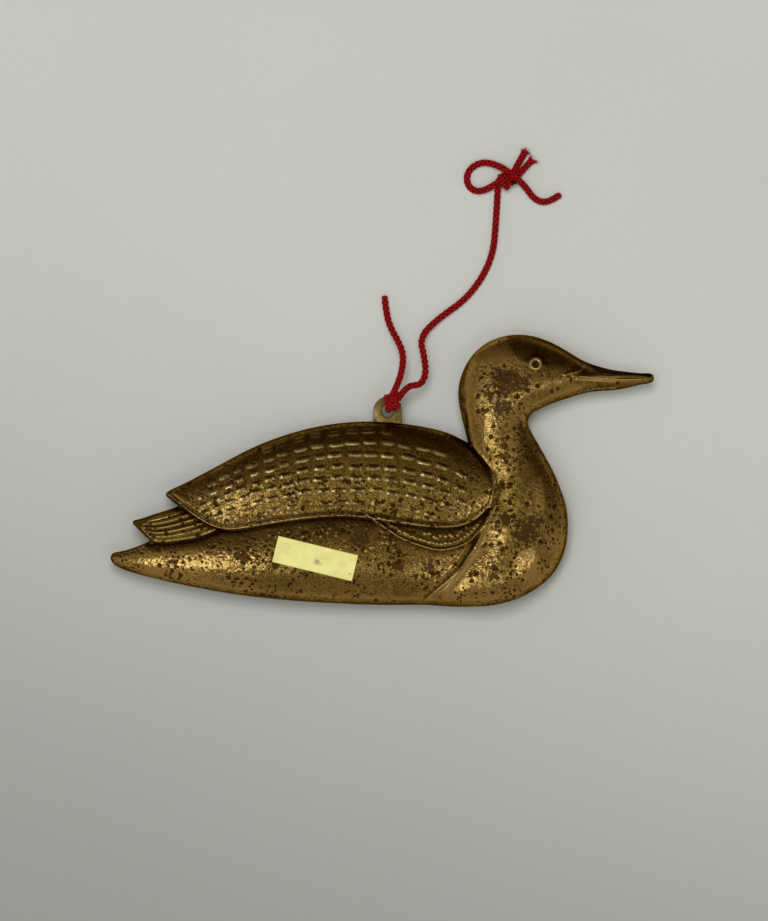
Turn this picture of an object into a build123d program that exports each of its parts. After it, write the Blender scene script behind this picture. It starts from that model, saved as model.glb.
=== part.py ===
"""Flat pressed-brass duck ornament with a hanging tab, a bare paper label and a red cord.

Two thin pressed halves meet rim to rim, the flat tab is held between the rims, and the cord is
tied through the tab's hole. The duck lies on its back half on a table.
Millimetres. +X runs to the bill, +Y to the duck's back and +Z up from the table, with the origin
on the table under the middle of the brass.
"""

import os
from math import cos, pi, radians, sin, tan

from build123d import *

os.makedirs("parts", exist_ok=True)

# Pressed halves
SHEET = 0.5
DRAW_DEPTH = 4.6
STEP = 0.3
SEAM_Z = DRAW_DEPTH
RIM_PLANE = Plane.XY.offset(SEAM_Z)

# Eye ring, raised by a little less than the step
EYE_X, EYE_Y = 28.5, 20.0
EYE_OUTER_R = 1.05
EYE_INNER_R = 0.55
EYE_RAISE = 0.25

# Feather dashes pressed up in rows on the wing
DASH_RAISE = 0.2
DASH_SINK = 0.2
DASH_WIDTH = 0.8
DASH_LENGTH_SHARE = 0.68
DASH_TAPER = 25.0
DASH_LEAN = 0.12
FIRST_COLUMN_X = 17.0
LAST_COLUMN_X = -38.0

# Hanging tab, round on top about the centre of its hole
TAB_X, TAB_HOLE_Y = 0.9, 11.2
TAB_R = 2.7
TAB_THICKNESS = 0.6
TAB_HOLE_R = 1.1
TAB_HOLE_CHAMFER = 0.12
TAB_ROOT_Y = 6.4

# Paper label on the flank
LABEL_X, LABEL_Y = -12.6, -16.3
LABEL_LENGTH = 15.3
LABEL_WIDTH = 5.0
LABEL_TURN = -13.7
LABEL_THICKNESS = 0.1

# Cord, and the knots wound from it
CORD_D = 1.2
LAID_Z = CORD_D / 2
KNOT_GAP = 0.15
WRAP_R = 0.7 * CORD_D
WRAP_PITCH = 0.85 * CORD_D
RING_BEND_R = 0.7 * CORD_D
TIE_WRAPS = 3
TIE_TURN = 61.0
BOW_X, BOW_Y = 22.9, 54.3
BOW_WRAPS = 2
BOW_TURN = -32.0

# Each relief form is a row of arches: x, y, heading, reach to the right and to the left of the
# heading, and crest height as a share of the draw depth. What stands over the depth is pressed flat.
HULL = [
    (-50.9, -16.4, 0, 1.1, 1.1, 0.20),
    (-48.0, -16.7, 0, 1.9, 1.9, 0.37),
    (-43.5, -16.9, 0, 3.2, 3.8, 0.57),
    (-37.9, -17.0, 0, 4.4, 4.9, 0.74),
    (-29.5, -17.0, 0, 6.0, 8.0, 0.90),
    (-18.3, -16.8, 0, 7.4, 12.0, 1.01),
    (-7.1, -16.7, 0, 8.2, 13.0, 1.01),
    (4.2, -16.8, 0, 8.3, 13.0, 0.93),
    (14.0, -17.0, 0, 8.2, 13.0, 0.78),
    (21.0, -17.0, 0, 7.2, 13.0, 0.62),
]
TAIL = [
    (-48.0, -11.5, 0, 2.0, 1.7, 0.30),
    (-43.5, -11.0, 0, 3.5, 2.6, 0.47),
    (-37.9, -10.0, 0, 5.0, 3.3, 0.60),
    (-30.0, -8.5, 0, 5.5, 4.3, 0.68),
]
WING = [
    (-42.0, -10.5, 0, 5.5, 5.5, 0.48),
    (-34.2, -8.0, 0, 7.2, 7.2, 0.73),
    (-28.0, -6.0, 0, 8.5, 8.5, 0.87),
    (-18.3, -3.6, 0, 10.2, 10.3, 0.94),
    (-7.1, -2.3, 0, 11.3, 11.3, 0.95),
    (4.2, -3.0, 0, 11.9, 11.9, 0.95),
    (12.6, -4.2, 0, 11.1, 11.1, 0.93),
    (18.2, -4.2, 0, 7.9, 7.9, 0.89),
    (22.0, -4.0, 0, 4.0, 4.0, 0.80),
]
HEAD = [
    (14.0, 14.2, 0, 1.0, 1.0, 0.17),
    (15.4, 14.3, 0, 5.5, 5.5, 0.50),
    (18.2, 15.0, 0, 8.0, 8.2, 0.78),
    (23.2, 16.3, 0, 8.6, 9.2, 0.91),
    (27.5, 16.8, 0, 6.5, 8.5, 0.89),
    (32.2, 17.4, 0, 4.8, 6.2, 0.76),
    (36.9, 17.6, 0, 2.8, 3.4, 0.57),
    (40.6, 17.3, 0, 2.1, 2.0, 0.41),
    (44.4, 17.1, 0, 1.8, 1.5, 0.35),
    (48.1, 17.2, 0, 1.1, 1.1, 0.28),
    (50.8, 17.4, 0, 0.7, 0.7, 0.20),
]
NECK = [
    (7.6, -23.2, 12, 0.7, 1.0, 0.22),
    (13.5, -22.3, 20, 3.0, 4.6, 0.82),
    (20.1, -19.0, 42, 7.0, 8.6, 0.98),
    (25.3, -13.8, 68, 8.3, 11.0, 1.01),
    (26.4, -7.7, 92, 8.2, 10.0, 1.01),
    (25.1, -1.7, 108, 7.0, 8.0, 0.96),
    (22.9, 3.9, 108, 6.2, 7.5, 0.91),
    (21.4, 8.6, 92, 5.8, 6.4, 0.91),
    (21.6, 13.3, 85, 6.0, 6.5, 0.87),
]

# Plan lines that cut the forms off as steps, each with its form on the left
WING_EDGE = [
    (-40.7, -4.1), (-37.3, -6.8), (-33.4, -9.5), (-29.8, -10.9), (-24.8, -10.5), (-15.5, -9.0),
    (-6.0, -8.5), (3.2, -9.7), (10.7, -10.5), (16.0, -9.8), (19.3, -7.2), (20.6, -2.0),
]
NECK_EDGE = [
    (16.1, 5.2), (18.2, 2.6), (19.8, 0.4), (20.6, -1.9), (20.2, -5.4), (19.1, -9.2),
    (17.6, -12.9), (15.9, -15.7), (12.6, -19.8), (8.8, -23.1), (6.0, -25.8),
]
TAIL_EDGE = [(-46.9, -9.2), (-43.3, -13.2), (-37.9, -13.2), (-34.2, -12.5), (-30.0, -10.6)]
FLANK_EDGE = [
    (0.4, -10.7), (3.2, -12.5), (7.0, -14.0), (10.7, -14.8), (13.5, -14.4), (16.3, -13.1),
    (18.6, -10.7),
]

# Lie of the dashes along the wing: x, y of the wing's top edge, spread of the rows and pitch
DASH_LIE = [
    (18.0, 3.9, 1.10, 3.3),
    (13.5, 6.55, 1.08, 3.3),
    (9.8, 7.8, 1.07, 3.3),
    (4.15, 8.8, 1.04, 3.3),
    (-1.45, 9.25, 1.02, 3.3),
    (-7.1, 9.05, 0.99, 3.3),
    (-12.7, 8.2, 0.94, 3.2),
    (-18.3, 6.7, 0.90, 3.0),
    (-23.9, 4.55, 0.84, 2.7),
    (-29.5, 1.7, 0.76, 2.4),
    (-38.5, -3.0, 0.64, 2.1),
]

# Rows of dashes: drop below the top edge, and x of the row's front and back end
DASH_ROWS = [
    (1.7, 4.0, -22.0),
    (3.8, 13.5, -33.0),
    (6.0, 15.5, -35.0),
    (8.3, 16.5, -36.0),
    (10.4, 17.0, -34.5),
    (12.7, 14.0, -31.0),
    (15.2, 10.0, -26.0),
]
NAPE = (10.0, 8.0)
FAR = 60.0

# Routes of the cord, and the share of a run that the arc at its end may take
ARC_SHARE = 0.45
LONG_STRAND = [
    (2.8, 13.4, 6.5), (4.5, 16.0, 6.3), (7.1, 16.0, 5.6), (8.1, 18.2, 4.7), (7.8, 21.3, 3.4),
    (6.9, 25.0, 2.0), (10.1, 28.4, 0.9), (16.2, 32.6, LAID_Z), (20.6, 39.6, LAID_Z),
    (21.3, 47.5, LAID_Z), (21.6, 53.4, LAID_Z),
]
SHORT_STRAND = [
    (1.7, 14.0, 6.5), (3.1, 16.7, 6.0), (3.9, 20.6, 4.2), (3.5, 23.2, 2.8), (1.2, 27.3, 0.9),
    (0.6, 30.2, LAID_Z), (0.3, 32.8, LAID_Z),
]
BOW_LOOP = [
    (21.2, 53.9, 1.2), (18.6, 52.1, 0.7), (15.9, 53.2, LAID_Z), (15.7, 56.2, LAID_Z),
    (18.4, 58.1, LAID_Z), (21.6, 57.4, 1.0), (24.0, 55.8, 1.6), (26.6, 53.6, 1.1),
    (28.4, 50.9, LAID_Z), (31.0, 50.2, LAID_Z), (33.3, 51.9, LAID_Z),
]
UPPER_STUB = [(24.0, 54.9, 1.4), (25.1, 57.3, 0.9), (26.9, 60.2, LAID_Z)]
RIGHT_STUB = [(24.3, 54.2, 1.0), (25.9, 56.2, 0.8), (28.3, 58.6, LAID_Z)]


def arch(x, y, heading, right, left, height):
    """Upright arch of two quarter ellipses across the heading, with its foot on the rim plane."""
    turn = radians(heading)
    across = Plane(origin=(x, y, SEAM_Z), x_dir=(-sin(turn), cos(turn), 0), z_dir=(cos(turn), sin(turn), 0))
    with BuildSketch(across) as section:
        with BuildLine():
            EllipticalCenterArc((0, 0), left, height, start_angle=0, arc_size=90)
            EllipticalCenterArc((0, 0), right, height, start_angle=90, arc_size=90)
            Line((-right, 0), (left, 0))
        make_face()
    return section.sketch


def relief(stations, inset):
    """Loft through a form's arches, drawn in by the inset on its foot, its crest and its ends."""
    sections = []
    last = len(stations) - 1
    for index, (x, y, heading, right, left, share) in enumerate(stations):
        along = inset * ((index == 0) - (index == last))
        turn = radians(heading)
        sections.append(
            arch(
                x + along * cos(turn),
                y + along * sin(turn),
                heading,
                right - inset,
                left - inset,
                share * DRAW_DEPTH - inset,
            )
        )
    with BuildPart() as form:
        loft(sections)
    return form.part


def drawn_in(edge, inset):
    """The points of a plan line moved to its left by the inset."""
    moved = []
    for index, point in enumerate(edge):
        before = Vector(edge[max(index - 1, 0)])
        after = Vector(edge[min(index + 1, len(edge) - 1)])
        moved.append(Vector(point) + (after - before).normalized().rotate(Axis.Z, 90) * inset)
    return moved


def within(stations, inset, edge, far_points, straight_runs=0, grow=0.0):
    """The form cut off at a plan line, where the far points close the outline around it."""
    line = drawn_in(edge, inset)
    with BuildPart() as form:
        add(relief(stations, inset - grow))
        with BuildSketch(RIM_PLANE):
            with BuildLine():
                if straight_runs:
                    Polyline(*line[: straight_runs + 1])
                Spline(*line[straight_runs:])
                Polyline(line[-1], *far_points, line[0])
            make_face()
        extrude(amount=FAR, mode=Mode.INTERSECT)
    return form.part


def pressing(inset):
    """All the forms of one half together, standing on the rim plane."""
    over_back = [(WING_EDGE[-1][0], FAR), (-FAR, FAR)]
    over_tail = [(TAIL_EDGE[-1][0], FAR), (-FAR, FAR)]
    under_wing = [(FLANK_EDGE[-1][0], 0), (FLANK_EDGE[0][0], 0)]
    round_breast = [(NECK_EDGE[-1][0], -FAR), (FAR, -FAR), (FAR, FAR), (NAPE[0], FAR), NAPE]
    with BuildPart() as body:
        add(relief(HULL, inset))
        add(within(TAIL, inset, TAIL_EDGE, over_tail, straight_runs=1))
        add(within(HULL, inset, FLANK_EDGE, under_wing, grow=STEP))
        add(within(WING, inset, WING_EDGE, over_back))
        add(within(NECK, inset, NECK_EDGE, round_breast))
        add(relief(HEAD, inset))
        with BuildSketch(RIM_PLANE):
            Rectangle(2 * FAR, 2 * FAR)
        extrude(amount=DRAW_DEPTH - inset, mode=Mode.INTERSECT)
    return body.part


def dash_lie(x):
    """Top edge, spread and pitch of the dashes at x, along straight lines between the given rows."""
    for front, back in zip(DASH_LIE, DASH_LIE[1:]):
        if x >= back[0]:
            break
    share = (x - back[0]) / (front[0] - back[0])
    return [after + share * (before - after) for before, after in zip(front[1:], back[1:])]


def dash_place(x, drop):
    """Point in plan of a row at x."""
    top, spread, _ = dash_lie(x)
    return Vector(x, top - drop * spread, 0)


def feather_dashes(wing):
    """Bars with sloping sides, square to the wing's surface, in rows and leaning columns."""
    with BuildPart() as dashes:
        column = FIRST_COLUMN_X
        while column > LAST_COLUMN_X:
            pitch = dash_lie(column)[2]
            for drop, front_x, back_x in DASH_ROWS:
                x = column + DASH_LEAN * drop
                if back_x <= x <= front_x:
                    place = dash_place(x, drop)
                    ahead = dash_place(x + pitch / 2, drop) - dash_place(x - pitch / 2, drop)
                    spot, normal = wing.find_intersection_points(Axis(place, (0, 0, 1)))[-1]
                    along = ahead - normal * ahead.dot(normal)
                    with BuildSketch(Plane(spot - normal * DASH_SINK, x_dir=along, z_dir=normal)):
                        Rectangle(DASH_LENGTH_SHARE * pitch, DASH_WIDTH)
            column -= pitch
        extrude(amount=DASH_SINK + DASH_RAISE, taper=DASH_TAPER)
    return dashes.part


def corner_radii(route):
    """The largest arc at each corner that the shorter of its two runs leaves room for."""
    radii = []
    for before, corner, after in zip(route, route[1:], route[2:]):
        arriving = Vector(corner) - Vector(before)
        leaving = Vector(after) - Vector(corner)
        half_turn = radians(arriving.get_angle(leaving)) / 2
        radii.append(ARC_SHARE * min(arriving.length, leaving.length) / tan(half_turn))
    return radii


def cord_tube(name, route):
    """Round cord along straight runs and tangent arcs."""
    radii = corner_radii(route)
    with BuildPart() as tube:
        with BuildLine() as path:
            FilletPolyline(*route, radius=radii)
        with BuildSketch(Plane(origin=path.line @ 0, z_dir=path.line % 0)):
            Circle(CORD_D / 2)
        sweep()
    length = path.wire().length
    share = tube.part.volume / (pi * CORD_D**2 / 4 * length)
    bends = [round(radius, 1) for radius in radii]
    print(f"{name}: length {length:.1f}, volume ratio {share:.4f}, bend radii {bends}")
    return tube.part


def wound_knot(axis_plane, wraps):
    """Cord wound side by side round a core, along the normal of the plane."""
    row = WRAP_PITCH * (wraps - 1)
    with BuildPart(axis_plane) as knot:
        Cylinder(WRAP_R, row + CORD_D / 2)
        with Locations([(0, 0, WRAP_PITCH * index - row / 2) for index in range(wraps)]):
            Torus(WRAP_R, CORD_D / 2)
    return knot.part


# Hanging tab
with BuildPart() as hanger_tab:
    with BuildSketch(RIM_PLANE.offset(-TAB_THICKNESS / 2)):
        with Locations((TAB_X, TAB_HOLE_Y)):
            Circle(TAB_R)
            Rectangle(2 * TAB_R, TAB_HOLE_Y - TAB_ROOT_Y, align=(Align.CENTER, Align.MAX))
            Circle(TAB_HOLE_R, mode=Mode.SUBTRACT)
    extrude(amount=TAB_THICKNESS)
    hole_wall = hanger_tab.faces().filter_by(GeomType.CYLINDER).sort_by(SortBy.RADIUS)[0]
    chamfer(hole_wall.edges().filter_by(GeomType.CIRCLE), TAB_HOLE_CHAMFER)
hanger_tab.part.label = "hanger_tab"

# Front half, hollow, with the seat of the tab in its rim
outer = pressing(0)
with BuildPart() as eye_ring:
    add(relief(HEAD, -EYE_RAISE))
    with BuildSketch(RIM_PLANE):
        with Locations((EYE_X, EYE_Y)):
            Circle(EYE_OUTER_R)
            Circle(EYE_INNER_R, mode=Mode.SUBTRACT)
    extrude(amount=FAR, mode=Mode.INTERSECT)
with BuildPart() as front_shell:
    add(outer)
    add(feather_dashes(relief(WING, 0)))
    add(eye_ring.part)
    add(pressing(SHEET), mode=Mode.SUBTRACT)
    add(hanger_tab.part, mode=Mode.SUBTRACT)
front_shell.part.label = "front_shell"

# Back half, the same pressing turned over
with BuildPart() as back_shell:
    mirror(front_shell.part, about=RIM_PLANE)
back_shell.part.label = "back_shell"

# Label, lying on the curve of the flank
with BuildPart() as label:
    add(relief(HULL, -LABEL_THICKNESS))
    with BuildSketch(RIM_PLANE):
        with Locations(Location((LABEL_X, LABEL_Y), LABEL_TURN)):
            Rectangle(LABEL_LENGTH, LABEL_WIDTH)
    extrude(amount=DRAW_DEPTH + LABEL_THICKNESS, mode=Mode.INTERSECT)
    add(outer, mode=Mode.SUBTRACT)
label.part.label = "label"

# Knot at the tab: a ring through the hole and round the tab's rim, under the wraps
tie_turn = radians(TIE_TURN)
tie_out = Vector(cos(tie_turn), sin(tie_turn), 0)
ring_centre = Vector(TAB_X, TAB_HOLE_Y, SEAM_Z) + tie_out * (TAB_R + TAB_HOLE_R) / 2
ring_reach = (TAB_R - TAB_HOLE_R) / 2 + KNOT_GAP + CORD_D / 2
ring_rise = TAB_THICKNESS / 2 + KNOT_GAP + CORD_D / 2
wraps_rise = TAB_THICKNESS / 2 + KNOT_GAP + WRAP_R + CORD_D / 2
with BuildPart() as tie_knot:
    with BuildLine(Plane(origin=ring_centre, x_dir=tie_out, z_dir=tie_out.rotate(Axis.Z, -90))) as ring:
        FilletPolyline(
            (ring_reach, ring_rise),
            (ring_reach, -ring_rise),
            (-ring_reach, -ring_rise),
            (-ring_reach, ring_rise),
            radius=RING_BEND_R,
            close=True,
        )
    with BuildSketch(Plane(origin=ring.line @ 0, z_dir=ring.line % 0)):
        Circle(CORD_D / 2)
    sweep()
    add(wound_knot(Plane(origin=ring_centre + Vector(0, 0, wraps_rise), z_dir=tie_out), TIE_WRAPS))
tie_knot.part.label = "tie_knot"

# Free strands and the half-made bow
with BuildPart() as long_strand:
    add(cord_tube("long_strand", LONG_STRAND))
long_strand.part.label = "long_strand"

with BuildPart() as short_strand:
    add(cord_tube("short_strand", SHORT_STRAND))
short_strand.part.label = "short_strand"

bow_turn = radians(BOW_TURN)
with BuildPart() as bow_knot:
    bow_centre = Vector(BOW_X, BOW_Y, WRAP_R + CORD_D / 2)
    add(wound_knot(Plane(origin=bow_centre, z_dir=(cos(bow_turn), sin(bow_turn), 0)), BOW_WRAPS))
bow_knot.part.label = "bow_knot"

with BuildPart() as bow_loop:
    add(cord_tube("bow_loop", BOW_LOOP))
bow_loop.part.label = "bow_loop"

with BuildPart() as upper_stub:
    add(cord_tube("upper_stub", UPPER_STUB))
upper_stub.part.label = "upper_stub"

with BuildPart() as right_stub:
    add(cord_tube("right_stub", RIGHT_STUB))
right_stub.part.label = "right_stub"

for piece in (
    front_shell, back_shell, hanger_tab, label, tie_knot, long_strand,
    short_strand, bow_knot, bow_loop, upper_stub, right_stub,
):
    export_step(piece.part, f"parts/{piece.part.label}.step")
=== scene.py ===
"""Looks of a pressed brass duck ornament with a bare label and a red cord, in the CAD model's frame."""

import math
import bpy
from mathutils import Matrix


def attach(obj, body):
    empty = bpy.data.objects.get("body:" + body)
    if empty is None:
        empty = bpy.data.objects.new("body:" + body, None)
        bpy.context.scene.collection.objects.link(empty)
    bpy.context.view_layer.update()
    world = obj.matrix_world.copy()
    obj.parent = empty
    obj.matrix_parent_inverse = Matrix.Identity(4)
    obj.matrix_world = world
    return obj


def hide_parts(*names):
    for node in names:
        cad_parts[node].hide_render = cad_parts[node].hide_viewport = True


bl_info = {
    "name": "Pressed Brass Duck Ornament",
    "version": (1, 0, 0),
    "blender": (4, 5, 0),
    "location": "View3D > Sidebar > Duck",
    "description": "Builds the two pressed halves, the hanging tab, the label and the braided cord",
    "category": "Object",
}

from functools import partialmethod
from types import SimpleNamespace

import bpy
import numpy as np
from mathutils import Vector, kdtree, noise
from mathutils.geometry import delaunay_2d_cdt

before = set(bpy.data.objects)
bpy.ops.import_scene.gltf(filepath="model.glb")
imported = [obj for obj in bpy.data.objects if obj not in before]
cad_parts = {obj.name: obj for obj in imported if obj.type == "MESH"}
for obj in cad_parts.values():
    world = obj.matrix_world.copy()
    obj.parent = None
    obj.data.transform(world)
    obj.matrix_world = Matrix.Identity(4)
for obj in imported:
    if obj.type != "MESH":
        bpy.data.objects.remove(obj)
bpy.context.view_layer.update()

# Lengths are in millimetres unless a comment says otherwise; the seam is the level where the halves meet,
# and points on plan lines are one line step apart
MM = 0.001
SEAM = 4.6
LINE_STEP = 0.1
UP = np.array([0.0, 0.0, 1.0])

# Camera: the picture's scale at the seam, its height in pixels and its middle
PIXEL = 0.187
PICTURE_HEIGHT = 921
PICTURE_MIDDLE = (0.23, 1.96)
CAMERA_DISTANCE = 1100.0
SENSOR = 36.0

# Stage: the table's half width in metres, and the room's two colours
TABLE_HALF = 12.0
ROOM_COLOUR = (1.0, 0.97, 0.80)
DIM_COLOUR = (0.14, 0.090, 0.02)

# Places of a Mix node's colour sockets
MIX_FIRST, MIX_SECOND, MIX_RESULT = 6, 7, 2

# Outline of the pressing, counter-clockwise, as smooth runs that meet at corners
OUTLINE = [
    [(15.95, 5.25), (13.5, 6.55), (9.8, 7.8), (4.15, 8.8), (-1.45, 9.25), (-7.1, 9.05), (-12.7, 8.2),
     (-18.3, 6.7), (-23.9, 4.55), (-29.5, 1.7), (-35.1, -1.3), (-37.9, -2.7), (-40.1, -3.8),
     (-40.6, -4.3), (-40.35, -4.9)],
    [(-40.35, -4.9), (-38.2, -6.55)],
    [(-38.2, -6.55), (-39.0, -6.85), (-43.5, -8.35), (-45.8, -9.05), (-46.75, -9.5), (-46.65, -10.0)],
    [(-46.65, -10.0), (-43.5, -13.1)],
    [(-43.5, -13.1), (-45.8, -14.05), (-48.0, -14.8), (-49.5, -15.1), (-50.6, -15.5), (-50.9, -16.2),
     (-50.6, -17.1), (-49.5, -17.95), (-47.3, -18.85), (-43.5, -19.9), (-37.9, -21.2), (-32.3, -22.3),
     (-26.7, -23.2), (-21.1, -23.85), (-15.5, -24.35), (-9.9, -24.7), (-3.3, -24.98), (3.2, -25.05),
     (8.8, -25.1), (12.6, -25.35), (16.3, -25.4), (19.7, -25.25), (22.9, -24.65), (26.0, -23.55),
     (29.0, -21.8), (31.5, -19.6), (33.15, -17.0), (34.2, -14.1), (34.6, -11.0), (34.55, -8.4),
     (34.1, -5.8), (33.15, -3.1), (31.85, 0.0), (30.35, 2.8), (28.65, 5.8), (27.65, 7.6), (27.15, 9.2),
     (27.7, 10.5), (29.4, 11.6), (32.2, 12.8), (35.0, 13.75), (37.8, 14.55), (40.6, 14.95),
     (43.4, 15.15), (46.2, 15.65), (49.0, 16.25), (50.45, 16.7), (50.75, 17.4), (50.4, 18.05),
     (49.0, 18.3), (46.2, 18.5), (43.4, 18.85), (40.6, 19.5), (37.8, 20.5), (35.0, 22.1),
     (32.2, 23.7), (29.4, 24.85), (26.6, 25.45), (23.8, 25.4), (21.0, 24.7), (18.75, 23.5),
     (17.05, 22.0), (15.75, 20.2), (14.8, 18.15), (14.25, 16.1), (14.1, 14.0), (14.4, 11.8),
     (15.1, 8.6), (15.95, 5.25)],
]

# Rolls of the relief: x and y of the crest, reach to the right and to the left, share of the drawn depth
HULL = [
    (-50.9, -16.4, 1.1, 1.1, 0.20), (-48.0, -16.7, 1.9, 1.9, 0.37), (-43.5, -16.9, 3.2, 3.8, 0.57),
    (-37.9, -17.0, 4.4, 4.9, 0.74), (-29.5, -17.0, 6.0, 8.0, 0.90), (-18.3, -16.8, 7.4, 12.0, 1.00),
    (-7.1, -16.7, 8.2, 13.0, 1.00), (4.2, -16.8, 8.3, 13.0, 0.93), (14.0, -17.0, 8.2, 13.0, 0.78),
    (21.0, -17.0, 7.2, 13.0, 0.62),
]
TAIL = [
    (-48.0, -11.5, 2.0, 1.7, 0.30), (-43.5, -11.0, 3.5, 2.6, 0.47), (-37.9, -10.0, 5.0, 3.3, 0.60),
    (-30.0, -8.5, 5.5, 4.3, 0.68),
]
WING = [
    (-42.0, -10.5, 5.5, 5.5, 0.48), (-34.2, -8.0, 7.2, 7.2, 0.73), (-28.0, -6.0, 8.5, 8.5, 0.87),
    (-18.3, -3.6, 10.2, 10.3, 0.94), (-7.1, -2.3, 11.3, 11.3, 0.95), (4.2, -3.0, 11.9, 11.9, 0.95),
    (12.6, -4.2, 11.1, 11.1, 0.93), (18.2, -4.2, 7.9, 7.9, 0.89), (22.0, -4.0, 4.0, 4.0, 0.80),
]
HEAD = [
    (14.0, 14.2, 1.0, 1.0, 0.17), (15.4, 14.3, 5.5, 5.5, 0.50), (18.2, 15.0, 8.0, 8.2, 0.78),
    (23.2, 16.3, 8.6, 9.2, 0.91), (27.5, 16.8, 6.5, 8.5, 0.89), (32.2, 17.4, 4.8, 6.2, 0.76),
    (36.9, 17.6, 2.8, 3.4, 0.57), (40.6, 17.3, 2.1, 2.0, 0.41), (44.4, 17.1, 1.8, 1.5, 0.35),
    (48.1, 17.2, 1.1, 1.1, 0.28), (50.8, 17.4, 0.7, 0.7, 0.20),
]
NECK = [
    (7.6, -23.2, 0.7, 1.0, 0.22), (13.5, -22.3, 3.0, 4.6, 0.82), (20.1, -19.0, 7.0, 8.6, 0.98),
    (25.3, -13.8, 8.3, 11.0, 1.00), (26.4, -7.7, 8.2, 10.0, 1.00), (25.1, -1.7, 7.0, 8.0, 0.96),
    (22.9, 3.9, 6.2, 7.5, 0.91), (21.4, 8.6, 5.8, 6.4, 0.89), (21.6, 13.3, 6.0, 6.5, 0.82),
]

# Plan lines where one form steps over another, with the upper form on the left
WING_EDGE = [
    (-40.7, -4.1), (-37.3, -6.8), (-33.4, -9.5), (-29.8, -10.9), (-24.8, -10.5), (-15.5, -9.0),
    (-6.0, -8.5), (3.2, -9.7), (10.7, -10.5), (16.0, -9.8), (19.3, -7.2), (20.6, -2.0),
]
NECK_EDGE = [
    (16.1, 5.2), (18.2, 2.6), (19.8, 0.4), (20.6, -1.9), (20.2, -5.4), (19.1, -9.2), (17.6, -12.9),
    (15.9, -15.7), (12.6, -19.8), (8.8, -23.1), (6.0, -25.8),
]
TAIL_EDGE = [(-46.9, -9.2), (-43.3, -13.2), (-37.9, -13.2), (-34.2, -12.5), (-30.0, -10.6)]
FLANK_EDGE = [
    (0.4, -10.7), (3.2, -12.5), (7.0, -14.0), (10.7, -14.8), (13.5, -14.4), (16.3, -13.1), (18.6, -10.7),
]
WING_LINE = [(20.1, -3.4), (19.6, -5.2), (18.9, -6.3), (17.9, -7.0)]
CREASE_DEPTH = 0.30

# Upper and lower edge of the tail's fan of ribs
TAIL_TOP = [(-47, -9.4), (-43.5, -8.35), (-39, -6.85), (-34, -4.6)]
TAIL_LOW = [(-46.9, -10.6), (-43.3, -13.0), (-37.9, -13.2), (-34.2, -12.5), (-30, -10.6)]
TAIL_RIBS = 6

# Rim: rows of mesh points at these depths behind the outline, the band they fill, and the lip's height
RIM_ROWS = (0.03, 0.09, 0.18, 0.32, 0.52)
RIM_BAND = 0.75
LIP_HEIGHT = 0.5

# Feather dashes on the wing: x, top edge of the wing, spread of the rows, pitch along a row
DASH_LIE = [
    (18.0, 3.9, 1.10, 3.3), (13.5, 6.55, 1.08, 3.3), (9.8, 7.8, 1.07, 3.3), (4.15, 8.8, 1.04, 3.3),
    (-1.45, 9.25, 1.02, 3.3), (-7.1, 9.05, 0.99, 3.3), (-12.7, 8.2, 0.94, 3.2), (-18.3, 6.7, 0.90, 3.0),
    (-23.9, 4.55, 0.84, 2.7), (-29.5, 1.7, 0.76, 2.4), (-38.5, -3.0, 0.64, 2.1),
]

# Rows of dashes: drop below the top edge, and x of the row's front and back ends
DASH_ROWS = [
    (1.7, 4.0, -22.0), (3.8, 13.5, -33.0), (6.0, 15.5, -35.0), (8.3, 16.5, -36.0), (10.4, 17.0, -34.5),
    (12.7, 14.0, -31.0), (15.2, 10.0, -26.0),
]
DASH_HEIGHT = 0.13
DASH_LEAN = 0.12
FIRST_COLUMN_X = 17.0
LAST_COLUMN_X = -38.0

# Eye and beak
EYE = (28.5, 20.0)
EYE_RADIUS = 0.92
EYE_DOTS = [(28.3, 19.75), (28.8, 20.1)]
EYE_CORNER = (30.05, 19.75)
BEAK_LUMPS = [(34.0, 17.9), (34.7, 17.2), (35.6, 17.75), (36.4, 17.2)]
MOUTH_LINE = [(34.6, 17.3), (38.0, 17.3), (42.0, 17.1), (47.0, 17.2)]
CHEEK_LINE = [(33.8, 18.0), (35.2, 18.3), (36.6, 18.7), (37.9, 19.6)]

# Lower edge of the crown's painted shade, which stands in for a dark reflection
DARK_EDGE = [
    (23.2, 25.0), (23.8, 23.6), (24.6, 22.0), (25.8, 20.7), (27.4, 20.1), (29.9, 19.5), (33.4, 18.9),
    (36.6, 18.1), (42.7, 17.5), (50.5, 17.5),
]

# Brown blotches of tarnish: x, y, radius
BLOTCHES = [
    (23.5, 17.2, 2.6), (26.0, 16.7, 1.6), (22.4, 11.7, 1.7), (20.0, 13.8, 0.9), (18.9, 11.2, 0.7),
    (26.7, -11.2, 2.3), (28.8, -9.2, 1.3), (22.8, -8.8, 1.3), (22.0, -2.6, 0.9), (2.4, -17.6, 1.5),
    (-4.2, -13.2, 1.6), (-26.3, -16.0, 1.2), (8.6, -17.8, 1.1), (20.5, -19.6, 0.8), (-20.0, -17.4, 1.0),
]
COPPER_PATCH = (-1.0, -11.3, 0.85)

# Larger pits on the front half: x, y, radius
LARGE_PITS = [
    (17.7, 14.1, 0.45), (17.7, 11.1, 0.50), (18.6, 11.5, 0.35), (25.0, 13.9, 0.50), (27.0, 15.0, 0.45),
    (29.0, 15.9, 0.45), (20.7, 8.4, 0.40), (20.2, 6.4, 0.45), (23.4, 6.4, 0.45), (23.1, 1.8, 0.45),
    (23.8, -2.5, 0.50), (22.3, -2.5, 0.45), (27.0, -6.1, 0.55), (21.3, -7.0, 0.40), (29.1, -6.5, 0.35),
    (32.0, -6.5, 0.45), (22.3, -14.5, 0.55), (17.3, -19.0, 0.60), (16.6, -20.4, 0.35), (21.3, -18.3, 0.45),
    (9.4, -19.2, 0.60),
]

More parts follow.
